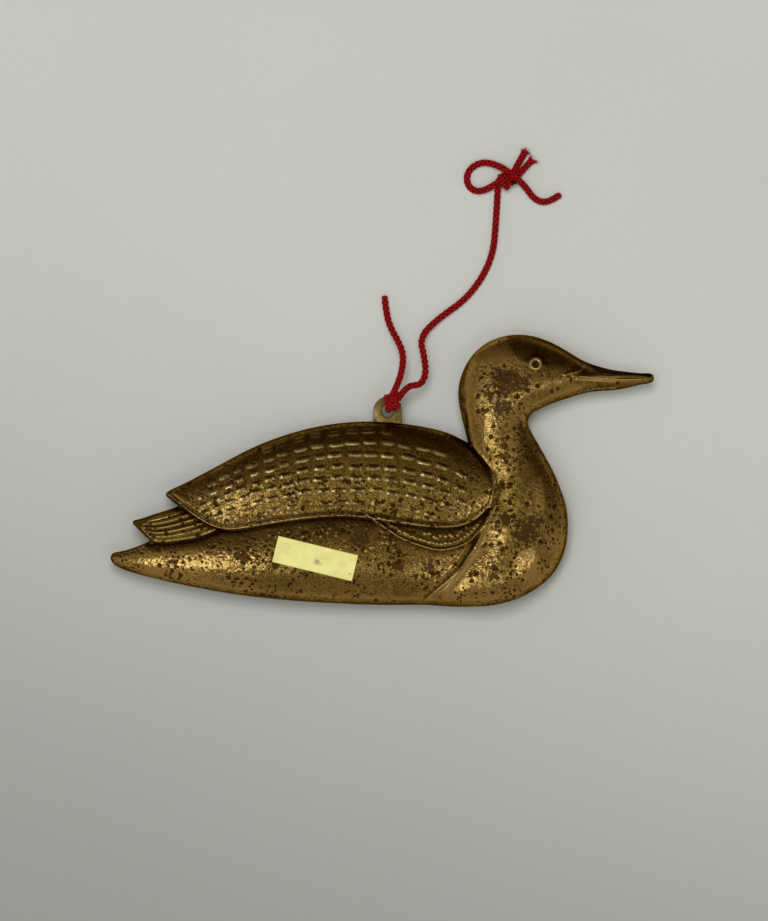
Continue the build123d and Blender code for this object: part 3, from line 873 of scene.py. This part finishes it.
def tube(line, radius, sides_count):
    """Points and faces of a closed tube round a line; the radius may change along it."""
    across, up = cross_directions(line)
    radius = np.broadcast_to(radius, len(line))
    turns = 2 * math.pi * np.arange(sides_count) / sides_count
    rings = line[:, None, :] + radius[:, None, None] * (
        np.cos(turns)[None, :, None] * across[:, None, :] + np.sin(turns)[None, :, None] * up[:, None, :]
    )
    points = np.concatenate([rings.reshape(-1, 3), line[:1], line[-1:]])
    faces = []
    round_ring = [(side, (side + 1) % sides_count) for side in range(sides_count)]
    for start in range(0, (len(line) - 1) * sides_count, sides_count):
        for side, after in round_ring:
            a, b = start + side, start + after
            faces.append((a, b, b + sides_count, a + sides_count))
    first, last = len(points) - 2, len(points) - 1
    for side, after in round_ring:
        faces.append((after, side, first))
        faces.append((first - sides_count + side, first - sides_count + after, last))
    return points, faces


def gather(parts):
    """Several sets of points and faces as one, with the numbers that go with the points."""
    faces, count = [], 0
    for part_points, part_faces, *_ in parts:
        faces.extend(tuple(index + count for index in face) for face in part_faces)
        count += len(part_points)
    points, _, *numbers = zip(*parts)
    return [np.concatenate(points), faces, *map(np.concatenate, numbers)]


def loose_fibres(end, ahead, count, chance):
    """Thin bent hairs at a cut yarn's end."""
    share = np.linspace(0, 1, 6)[:, None]
    for _ in range(count):
        aim = ahead + chance.normal(0, 0.45, 3)
        aim[2] *= 0.4
        length = chance.uniform(0.2, 0.5)
        bend = chance.normal(0, 0.25, 3)
        hair = end - 0.2 * ahead + length * share * aim + bend * share**2
        hair[:, 2] = np.maximum(hair[:, 2], 0.05)
        yield tube(hair, 0.028 * np.linspace(1, 0.5, 6), 5)


def braid(line, settings, seed, fray=0.0, fibres=0):
    """A round braid along a line: yarns that wind both ways; fray opens its end, or draws it in below 0."""
    chance = np.random.default_rng(seed)
    radius = BRAID_SHARE * settings.diameter / MM
    middle, along = evenly(line, BRAID_STEP)
    across, up = cross_directions(middle)
    turn = 2 * math.pi * along / (settings.pitch / MM)
    pairs = settings.carriers // 2
    wave = np.cos(pairs * turn - 0.5 * math.pi)
    to_end = along[-1] - along
    splay = fray * np.clip(1 - to_end / (1.6 if fray > 0 else 0.5), 0, 1) ** 2
    parts = []
    for way in (1, -1):
        for index in range(pairs):
            angle = way * turn + 2 * math.pi * index / pairs + (0 if way == 1 else math.pi / pairs)
            reach = radius * (YARN_REACH + YARN_WAVE * way * wave) + splay * chance.uniform(0.4, 1.2)
            yarn = middle + reach[:, None] * (np.cos(angle)[:, None] * across + np.sin(angle)[:, None] * up)
            yarn[:, 2] = np.maximum(yarn[:, 2], 0.26 * radius)
            thick = np.full(len(yarn), YARN_RADIUS * radius)
            if fray > 0:
                yarn = yarn[: len(yarn) - chance.integers(0, 4)]
                thick = thick[: len(yarn)] * (1 - 0.3 * np.clip(1 - to_end[: len(yarn)], 0, 1))
            parts.append(tube(yarn, thick, 7))
            parts.extend(loose_fibres(yarn[-1], unit(yarn[-1] - yarn[-4]), fibres, chance))
    parts.append(tube(middle[:-3] if fray else middle, CORE_RADIUS * radius, 8))
    points, faces = gather(parts)
    # Distance from the middle: the yarn colour turns low points into painted shade; cut ends stay unshaded
    nearest = nearest_points(middle, points)
    depth = np.linalg.norm(points - middle[nearest], axis=1) / radius
    if fray:
        depth = np.maximum(depth, 0.95 * np.clip(2 - to_end[nearest] / 0.4, 0, 1))
    return points, faces, depth


def level_direction(turn):
    """Unit vector in the level plane, turned from X by that many degrees."""
    return np.array([math.cos(math.radians(turn)), math.sin(math.radians(turn)), 0.0])


def wound_line(middle, turn, wraps, radius, pitch, lead=0.0):
    """Control points of cord wound round a level axis, with uneven wraps, in millimetres."""
    axis, side = level_direction(turn), level_direction(turn + 90)
    points = []
    for index in range(10 * wraps + 1):
        angle = 2 * math.pi * index / 10 + lead
        along = pitch * (index / 10 - wraps / 2) + 0.22 * math.sin(angle)
        uneven = radius * (1 + 0.06 * math.sin(2.3 * angle))
        points.append(middle + along * axis + uneven * (math.cos(angle) * side + math.sin(angle) * UP))
    return points


def pressed_marks(spots, to_rim):
    """Painted shade in slits, coves and the rim; painted highlights on dashes, beads and crests; share off
    the wing.
    """
    x, y = spots.T
    wing_side, flank_side, mouth, crown_side, neck_side = [
        side_of(edge, spots) for edge in (WING_EDGE, FLANK_EDGE, MOUTH_LINE, DARK_EDGE, NECK_EDGE)
    ]
    _, slit, painted_highlight = feather_dashes(spots)
    before_neck = rise(-neck_side - 2.5, 3.0)
    on_wing = rise(wing_side - 1.2, 0.5) * before_neck
    on_flank = rise(x - 1.0, 1.5) * rise(-wing_side, 0.3) * before_neck
    below_wing = between(wing_side, -3.5, -0.15, 5.0, 0.3) * before_neck
    on_bill = rise(x - 37.0, 2.0)
    low_breast = between(y, -23.0, -13.0, 3.0, 5.0)
    # Painted shade in the dash slits, under the wing edge, in grooves, on the crown, neck side and rim
    dirt = np.maximum.reduce([
        0.95 * slit * on_wing,
        0.55 * ridge(wing_side - 0.68, 0.3) * before_neck,
        below_wing * (0.68 - 0.3 * rise(flank_side, 0.6) * on_flank),
        0.6 * ridge(flank_side - 0.65, 0.25) * on_flank,
        0.8 * ridge(mouth, 0.15) * on_bill * rise(43.0 - x, 3.0),
        0.3 * rise(3.0 - to_rim, 4.0) * on_wing,
        0.85 * rise(crown_side, 0.6) * (0.65 + 0.35 * rise(x - 27.0, 6.0)),
        0.55 * rise(3.0 - to_rim, 2.0) * rise(x - 25.5, 2.0) * between(y, -11.0, 9.0, 5.0, 3.0),
        0.9 * rise(0.3 - to_rim, 0.5),
    ])
    # Painted highlights on the dashes, the wing and flank beads, the eye ring, the bill and breast edge
    bright = np.maximum.reduce([
        painted_highlight * on_wing,
        0.18 * ridge(wing_side - 0.12, 0.12) * before_neck,
        0.18 * ridge(flank_side - 0.12, 0.12) * on_flank,
        0.6 * ridge(distance_to(spots, EYE) - EYE_RADIUS, 0.2),
        0.5 * ridge(np.abs(mouth) - 0.3, 0.14) * on_bill * rise(44.0 - x, 4.0),
        0.28 * ridge(neck_side - 1.0, 0.35) * low_breast,
    ])
    # Broader painted highlights: the breast's edge, the crown above its shade, and the highlight zones
    wear_and_painted_highlight = np.maximum.reduce([
        0.8 * ridge(neck_side - 1.3, 0.8) * low_breast,
        rise(-crown_side - 0.2, 0.5) * zone_share([CROWN_ZONE], spots),
        zone_share(PAINTED_HIGHLIGHT_ZONES, spots),
    ])
    return dirt, bright, wear_and_painted_highlight, 1 - 0.85 * on_wing


def pit_share(spots, large, bare, seed):
    """Pits at each spot from 0 to 1: the large ones, and small ones scattered outside the bare places."""
    chance = np.random.default_rng(seed)
    pits = list(large)
    for place in chance.integers(0, len(spots), PIT_TRIES):
        if chance.random() > bare[place]:
            pits.append((*spots[place], PIT_RADIUS + PIT_SPREAD * chance.random() ** 2.5))
    share = np.zeros(len(spots))
    for *middle, radius in pits:
        near = np.flatnonzero(np.all(np.abs(spots - middle) < 2 * radius, axis=1))
        ragged = np.array([noise.noise(Vector((2.4 * x, 2.4 * y, seed))) for x, y in spots[near]])
        distance = distance_to(spots[near], middle) / radius + 0.6 * ragged
        raise_to(share, near, np.clip(1.6 * (1.2 - distance), 0, 1))
    return share


def pressed_half(name, body_side, seed, sheet, material):
    """One half: the plain relief with small dents and pits of its own, closed at the seam."""
    spots, faces, to_rim = sheet.spots, sheet.faces, sheet.to_rim
    dents, ripples = [cloudy(spots, scale, seed) for scale in (0.16, 0.55)]
    calm = zone_share(CALM_ZONES, spots, dents)
    bare = np.maximum(calm, rise(0.15 - dents, 0.9))
    pit = pit_share(spots, LARGE_PITS if body_side == 1 else [], bare, seed)
    height = sheet.plain + (DENT_HEIGHT * dents + RIPPLE_HEIGHT * ripples) * np.clip(to_rim / 1.5, 0, 1)
    height = np.clip(height - PIT_DEPTH * pit, 0, SEAM)
    height[:sheet.rim_count] = 0
    seam = fill_outline(spots[:sheet.rim_count], sheet.rim_count)[1]
    points = np.column_stack([spots, SEAM + body_side * height])
    all_faces = np.concatenate([faces[:, ::body_side], seam[:, ::-body_side]])
    piece = mesh_piece(name, points, all_faces, material, "ornament")
    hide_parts("front_shell" if body_side == 1 else "back_shell")

    # Points lower than their neighbours get painted shade, raised points a lighter colour
    hollow = spread_evenly(height, faces, 14) - height
    inner = rise(to_rim - 0.9, 0.8) * sheet.open
    *copper, copper_radius = COPPER_PATCH
    layers = {
        "polish": zone_share(POLISH_ZONES, spots, dents),
        "film": zone_share(FILM_ZONES, spots, dents),
        "calm": calm,
        "pit": pit,
        # crease carries the painted shade; crest the lighter crests and the broader painted highlights
        "crease": np.maximum(np.clip(hollow / 0.11, 0, 1) * inner, sheet.dirt),
        "crest": np.maximum(np.clip(-hollow / 0.07, 0, 1) * inner, sheet.wear_and_painted_highlight),
        "painted_highlight": sheet.painted_highlight,
        "blotch": blotch_share(spots, seed),
        "copper": rise(copper_radius - distance_to(spots, copper) - 1.2 * ripples, 0.3),
    }
    for layer, values in layers.items():
        paint(piece, layer, values)


def lay_table(settings):
    """A wide pale table, a little uneven in tone, with painted shade that darkens it on the near left."""
    material, net, place = new_material("pale_table")
    share = net.ramp(net.clouds(place, 14.0, 4.0), 0.3, 0.8)
    darker, dimmer = [tuple(share * value for value in settings.floor) for share in (0.96, 0.58)]
    parts = net.node("ShaderNodeSeparateXYZ", {"Vector": place}).outputs
    # Painted shade: the floor darkens towards the near left, as the light falls off there
    near = net.ramp(net.plus(parts["Y"], net.times(parts["X"], 0.36)), 0.035, -0.12)
    net.shade(Base_Color=net.mix(near, net.mix(share, settings.floor, darker), dimmer), Roughness=0.75)
    mesh = bpy.data.meshes.new("table")
    corners = [(-1, -1), (1, -1), (1, 1), (-1, 1)]
    mesh.from_pydata([(TABLE_HALF * x, TABLE_HALF * y, 0) for x, y in corners], [], [(0, 1, 2, 3)])
    floor = bpy.data.objects.new("table", mesh)
    floor.data.materials.append(material)
    bpy.context.collection.objects.link(floor)


def light_room(scene, settings):
    """Even room light that is dimmer low down behind the duck's back."""
    world = bpy.data.worlds.new("room")
    scene.world = world
    world.use_nodes = True
    net = Shading(world.node_tree)
    parts = net.node("ShaderNodeSeparateXYZ", {"Vector": net.place("Generated")}).outputs
    away = net.plus(net.times(parts["Y"], 0.85), net.times(parts["X"], 0.32))
    light = world.node_tree.nodes["Background"].inputs
    net.feed(light["Color"], net.mix(net.ramp(away, 0.14, 0.72), ROOM_COLOUR, DIM_COLOUR))
    net.feed(light["Strength"], settings.room)


def soft_panel(name, place, size, power):
    """A square soft panel aimed at the ornament."""
    lamp = bpy.data.lights.new(name, "AREA")
    lamp.shape = "SQUARE"
    lamp.size = size
    lamp.energy = power
    holder = bpy.data.objects.new(name, lamp)
    holder.location = place
    holder.rotation_euler = (-Vector(place)).to_track_quat("-Z", "Y").to_euler()
    bpy.context.collection.objects.link(holder)
    return holder


class DuckBrassSettings(bpy.types.PropertyGroup):
    """Sizes and colours of the pressed brass."""

    grain: bpy.props.FloatProperty(
        name="Mesh Grain", description="Spacing of the pressing's points",
        default=0.000165, unit="LENGTH", precision=5)
    detail: bpy.props.FloatProperty(
        name="Detail", description="Strength of the feather dashes, ribs and dots",
        default=1.0, min=0.0, max=2.0)
    roughness: bpy.props.FloatProperty(
        name="Roughness", description="Roughness of the brightest brass",
        default=0.16, subtype="FACTOR", min=0, max=1)
    # Clean brass, also used for the lighter crests and broader painted highlights
    bright: bpy.props.FloatVectorProperty(
        name="Bright Brass", description="Clean brass",
        default=(0.485, 0.285, 0.086), subtype="COLOR", min=0, max=1)
    film: bpy.props.FloatVectorProperty(
        name="Film", description="Olive tarnish film",
        default=(0.134, 0.078, 0.0075), subtype="COLOR", min=0, max=1)
    # The crease colour paints shade in hollows, slits, under the wing, on the crown and rim, and colours
    # specks
    crease: bpy.props.FloatVectorProperty(
        name="Creases", description="Dirt in the creases",
        default=(0.028, 0.0110, 0.0008), subtype="COLOR", min=0, max=1)
    # Colour of the painted highlights on dashes, beads, the eye and the bill
    painted_highlight: bpy.props.FloatVectorProperty(
        name="Glints", description="Rubbed brass",
        default=(0.82, 0.63, 0.29), subtype="COLOR", min=0, max=1)
    spot: bpy.props.FloatVectorProperty(
        name="Oxide Spots", description="Dark oxide spots",
        default=(0.048, 0.016, 0.003), subtype="COLOR", min=0, max=1)
    edge: bpy.props.FloatVectorProperty(
        name="Edge Tint", description="Brass seen at a low angle",
        default=(0.55, 0.42, 0.21), subtype="COLOR", min=0, max=1)
    blotch: bpy.props.FloatVectorProperty(
        name="Blotches", description="Brown blotches",
        default=(0.072, 0.033, 0.0095), subtype="COLOR", min=0, max=1)
    copper: bpy.props.FloatVectorProperty(
        name="Copper Patch", description="Pink copper bloom",
        default=(0.20, 0.085, 0.045), subtype="COLOR", min=0, max=1)
    strip: bpy.props.FloatVectorProperty(
        name="Strip", description="Brass of the tab",
        default=(0.255, 0.168, 0.056), subtype="COLOR", min=0, max=1)


class DuckLabelSettings(bpy.types.PropertyGroup):
    """Size and colours of the bare label."""

    length: bpy.props.FloatProperty(
        name="Length", description="Label's long side", default=0.0153, unit="LENGTH")
    width: bpy.props.FloatProperty(
        name="Width", description="Label's short side", default=0.0050, unit="LENGTH")
    thickness: bpy.props.FloatProperty(
        name="Thickness", description="Paper thickness", default=0.00008, unit="LENGTH", precision=5)
    paper: bpy.props.FloatVectorProperty(
        name="Paper", description="Cream foil", default=(1.0, 0.93, 0.34), subtype="COLOR", min=0, max=1)
    wear_and_painted_highlight: bpy.props.FloatVectorProperty(
        name="Worn Paper", description="Handled foil",
        default=(0.86, 0.76, 0.28), subtype="COLOR", min=0, max=1)
    smudge: bpy.props.FloatVectorProperty(
        name="Smudge", description="Rubbed grey marks",
        default=(0.20, 0.18, 0.10), subtype="COLOR", min=0, max=1)


class DuckCordSettings(bpy.types.PropertyGroup):
    """Size and colours of the braided cord."""

    diameter: bpy.props.FloatProperty(
        name="Diameter", description="Cord thickness", default=0.0012, unit="LENGTH", precision=4)
    pitch: bpy.props.FloatProperty(
        name="Braid Pitch", description="Length of one turn of a yarn",
        default=0.0042, unit="LENGTH", precision=4)
    carriers: bpy.props.IntProperty(
        name="Yarns", description="Number of braided yarns, half of them each way",
        default=8, min=4, max=16)
    red: bpy.props.FloatVectorProperty(
        name="Red", description="Lit yarn", default=(0.42, 0.005, 0.006), subtype="COLOR", min=0, max=1)
    # Deep red colours the darker yarn and the painted shade between yarns
    deep_red: bpy.props.FloatVectorProperty(
        name="Deep Red", description="Darker yarn",
        default=(0.050, 0.0008, 0.001), subtype="COLOR", min=0, max=1)


class DuckStageSettings(bpy.types.PropertyGroup):
    """Colours and light of the stage."""

    floor: bpy.props.FloatVectorProperty(
        name="Floor", description="Pale table",
        default=(0.676, 0.673, 0.644), subtype="COLOR", min=0, max=1)
    key: bpy.props.FloatProperty(
        name="Key Power", description="Power of the soft panel past the tail", default=0.72, unit="POWER")
    front: bpy.props.FloatProperty(
        name="Front Power", description="Power of the small panel past the breast",
        default=0.26, unit="POWER")
    back: bpy.props.FloatProperty(
        name="Back Power", description="Power of the soft panel past the duck's back",
        default=2.4, unit="POWER")
    daylight: bpy.props.FloatVectorProperty(
        name="Daylight", description="Colour of the key and front panels",
        default=(0.74, 0.87, 1.0), subtype="COLOR")
    room: bpy.props.FloatProperty(
        name="Room Light", description="Strength of the light from the room", default=0.42, min=0.0)


class DUCK_OT_pressed_halves(bpy.types.Operator):
    """Build the two pressed brass halves with their relief"""

    bl_idname = "duck.pressed_halves"
    bl_label = "Pressed Halves"

    def execute(self, context):
        settings = context.scene.duck_brass
        sheet = pressing_plan(settings.grain / MM)
        sheet.plain = relief(sheet.spots, sheet.to_rim, settings.detail)
        sheet.dirt, sheet.painted_highlight, sheet.wear_and_painted_highlight, sheet.open = pressed_marks(sheet.spots, sheet.to_rim)
        material = aged_brass(settings)
        for name, body_side, seed in (("front_half", 1, 3), ("back_half", -1, 8)):
            pressed_half(name, body_side, seed, sheet, material)
        return {"FINISHED"}


class DUCK_OT_hanging_tab(bpy.types.Operator):
    """Build the pierced hanging tab with a rolled edge round its hole"""

    bl_idname = "duck.hanging_tab"
    bl_label = "Hanging Tab"

    def execute(self, context):
        points, faces = [], []
        section = len(TAB_HOLE_SECTION) + len(TAB_EDGE_SECTION)
        for step in range(TAB_STEPS):
            angle = 2 * math.pi * step / TAB_STEPS
            cosine, sine = math.cos(angle), math.sin(angle)
            edge = TAB_R
            if sine < 0:
                edge = min(TAB_R / max(abs(cosine), 1e-6), TAB_ROOT / max(-sine, 1e-6))
            upper, lower = TAB_HOLE_SECTION[:6], TAB_HOLE_SECTION[6:]
            for reach, part in ((TAB_HOLE_R, upper), (edge, TAB_EDGE_SECTION), (TAB_HOLE_R, lower)):
                for out, up in part:
                    distance = reach + out
                    points.append((TAB_HOLE[0] + distance * cosine, TAB_HOLE[1] + distance * sine, SEAM + up))
            here, there = step * section, (step + 1) % TAB_STEPS * section
            for index in range(section):
                after = (index + 1) % section
                faces.append((here + index, there + index, there + after, here + after))
        material = tab_brass(context.scene.duck_brass)
        piece = mesh_piece("tab", points, faces, material, "ornament")
        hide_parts("hanger_tab")
        return {"FINISHED"}


class DUCK_OT_bare_label(bpy.types.Operator):
    """Build the bare paper label that lies on the flank"""

    bl_idname = "duck.bare_label"
    bl_label = "Bare Label"

    def execute(self, context):
        settings = context.scene.duck_label
        columns, rows = LABEL_GRID
        along = np.linspace(-0.5, 0.5, columns) * settings.length / MM
        across = np.linspace(-0.5, 0.5, rows) * settings.width / MM
        grid_along, grid_across = [grid.ravel() for grid in np.meshgrid(along, across)]
        cosine, sine = math.cos(math.radians(LABEL_TURN)), math.sin(math.radians(LABEL_TURN))
        spots = np.column_stack([
            LABEL_MIDDLE[0] + grid_along * cosine - grid_across * sine,
            LABEL_MIDDLE[1] + grid_along * sine + grid_across * cosine,
        ])
        under = relief(spots, rim_distance(outline_points(0.3), spots), 0.0)
        wrinkle = cloudy(spots, 0.7, 5.0)
        edge = np.minimum(along[-1] - np.abs(grid_along), across[-1] - np.abs(grid_across))
        lift = 0.02 + 0.012 * wrinkle + 0.03 * ridge(edge, 0.4)
        thick = settings.thickness / MM
        points = [np.column_stack([spots, SEAM + under + lift + more]) for more in (thick, 0.0)]
        faces = []
        size = columns * rows
        for row in range(rows - 1):
            for column in range(columns - 1):
                a = row * columns + column
                quad = (a, a + 1, a + 1 + columns, a + columns)
                faces.append(quad)
                faces.append(tuple(index + size for index in quad[::-1]))
        border = list(range(columns)) + [row * columns + columns - 1 for row in range(1, rows)]
        border += [size - 1 - column for column in range(1, columns)]
        border += [row * columns for row in range(rows - 2, 0, -1)]
        for here, there in zip(border, border[1:] + border[:1]):
            faces.append((here, here + size, there + size, there))
        points = np.concatenate(points)
        piece = mesh_piece("bare_label", points, faces, foil_paper(settings), "ornament")
        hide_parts("label")
        rub = ridge(np.hypot((grid_along - 0.4) / 1.6, (grid_across + 0.5) / 0.5), 1.0)
        paint(piece, "smudge", np.tile(np.clip(rub * (0.6 + 0.9 * wrinkle), 0, 1), 2))
        return {"FINISHED"}


class DUCK_OT_cord(bpy.types.Operator):
    """Build the braided cord, its knots and its half-made bow"""

    bl_idname = "duck.cord"
    bl_label = "Braided Cord"

    def execute(self, context):
        settings = context.scene.duck_cord
        yarn = red_yarn(settings)
        thickness = settings.diameter / MM

        def cord_piece(name, made, node):
            points, faces, depth = made
            piece = mesh_piece(name, points, faces, yarn, "cord")
            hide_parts(node)
            paint(piece, "depth", depth)
            return piece

        def lay_cord(name, route, seed, node, fray=0.0, fibres=0):
            return cord_piece(name, braid(smooth_line(route), settings, seed, fray, fibres), node)

        long_piece = lay_cord("long_cord", LONG_STRAND, 1, "long_strand")
        short_piece = lay_cord("short_cord", SHORT_STRAND, 2, "short_strand", CLOSED_END)
        loop_piece = lay_cord("bow_loop_cord", BOW_LOOP, 3, "bow_loop", CLOSED_END)
        upper_piece = lay_cord("upper_end", UPPER_STUB, 4, "upper_stub", FRAYED_END, 8)
        right_piece = lay_cord("right_end", RIGHT_STUB, 5, "right_stub", FRAYED_END, 8)

        middle, axis = np.array(TIE_MIDDLE), level_direction(TIE_TURN)
        ring = [middle + along * axis - drop * UP for along, drop in TIE_RING]
        wraps = wound_line(middle, TIE_WRAP_TURN, 2, 0.92 * thickness, 0.8 * thickness)
        inner_wraps = wound_line(middle, TIE_WRAP_TURN + 80, 2, 0.80 * thickness, 0.9 * thickness)
        tie_lines = enumerate((wraps, inner_wraps, ring), 6)
        tie_parts = [braid(smooth_line(line), settings, seed) for seed, line in tie_lines]
        tie_piece = cord_piece("tie_knot_cord", gather(tie_parts), "tie_knot")
        bow = wound_line(np.array(BOW_MIDDLE), BOW_TURN, 3, 0.7 * thickness, 0.75 * thickness, 0.8)
        bow_piece = lay_cord("bow_knot_cord", bow, 9, "bow_knot")

        long_line = smooth_line(LONG_STRAND)
        return {"FINISHED"}


class DUCK_OT_stage(bpy.types.Operator):
    """Set up the pale table, the soft light and the camera"""

    bl_idname = "duck.stage"
    bl_label = "Stage"

    def execute(self, context):
        scene = context.scene
        settings = scene.duck_stage
        scene.view_settings.view_transform = "Standard"
        lay_table(settings)
        light_room(scene, settings)
        key = soft_panel("key_panel", (-0.20, -0.08, 0.72), 0.28, settings.key)
        front = soft_panel("front_panel", (0.20, -0.20, 0.69), 0.18, settings.front)
        for panel in (key, front):
            panel.data.color = settings.daylight
        back = soft_panel("back_panel", (-0.03, 0.22, 0.75), 0.3, settings.back)
        back.visible_glossy = False

        camera = bpy.data.cameras.new("camera")
        camera.sensor_width = SENSOR
        camera.lens = SENSOR * CAMERA_DISTANCE / (PICTURE_HEIGHT * PIXEL)
        camera.clip_start = 0.01
        camera.clip_end = 100.0
        holder = bpy.data.objects.new("camera", camera)
        holder.location = [MM * value for value in (*PICTURE_MIDDLE, SEAM + CAMERA_DISTANCE)]
        scene.collection.objects.link(holder)
        scene.camera = holder
        return {"FINISHED"}


class DUCK_PT_sidebar(bpy.types.Panel):
    """Sidebar list of the ornament's pieces"""

    bl_label = "Brass Duck"
    bl_idname = "DUCK_PT_sidebar"
    bl_space_type = "VIEW_3D"
    bl_region_type = "UI"
    bl_category = "Duck"

    def draw(self, context):
        for piece in PIECES:
            self.layout.operator(piece.bl_idname)


SETTINGS = {
    "duck_brass": DuckBrassSettings,
    "duck_label": DuckLabelSettings,
    "duck_cord": DuckCordSettings,
    "duck_stage": DuckStageSettings,
}
PIECES = (DUCK_OT_stage, DUCK_OT_cord, DUCK_OT_pressed_halves, DUCK_OT_hanging_tab, DUCK_OT_bare_label)


def register():
    for name, group in SETTINGS.items():
        bpy.utils.register_class(group)
        setattr(bpy.types.Scene, name, bpy.props.PointerProperty(type=group))
    for piece in (*PIECES, DUCK_PT_sidebar):
        bpy.utils.register_class(piece)


def unregister():
    for piece in reversed((*PIECES, DUCK_PT_sidebar)):
        bpy.utils.unregister_class(piece)
    for name, group in SETTINGS.items():
        delattr(bpy.types.Scene, name)
        bpy.utils.unregister_class(group)


def main():
    register()
    bpy.ops.duck.stage()
    bpy.ops.duck.cord()
    bpy.ops.duck.pressed_halves()
    bpy.ops.duck.hanging_tab()
    bpy.ops.duck.bare_label()


if __name__ == "__main__":
    main()
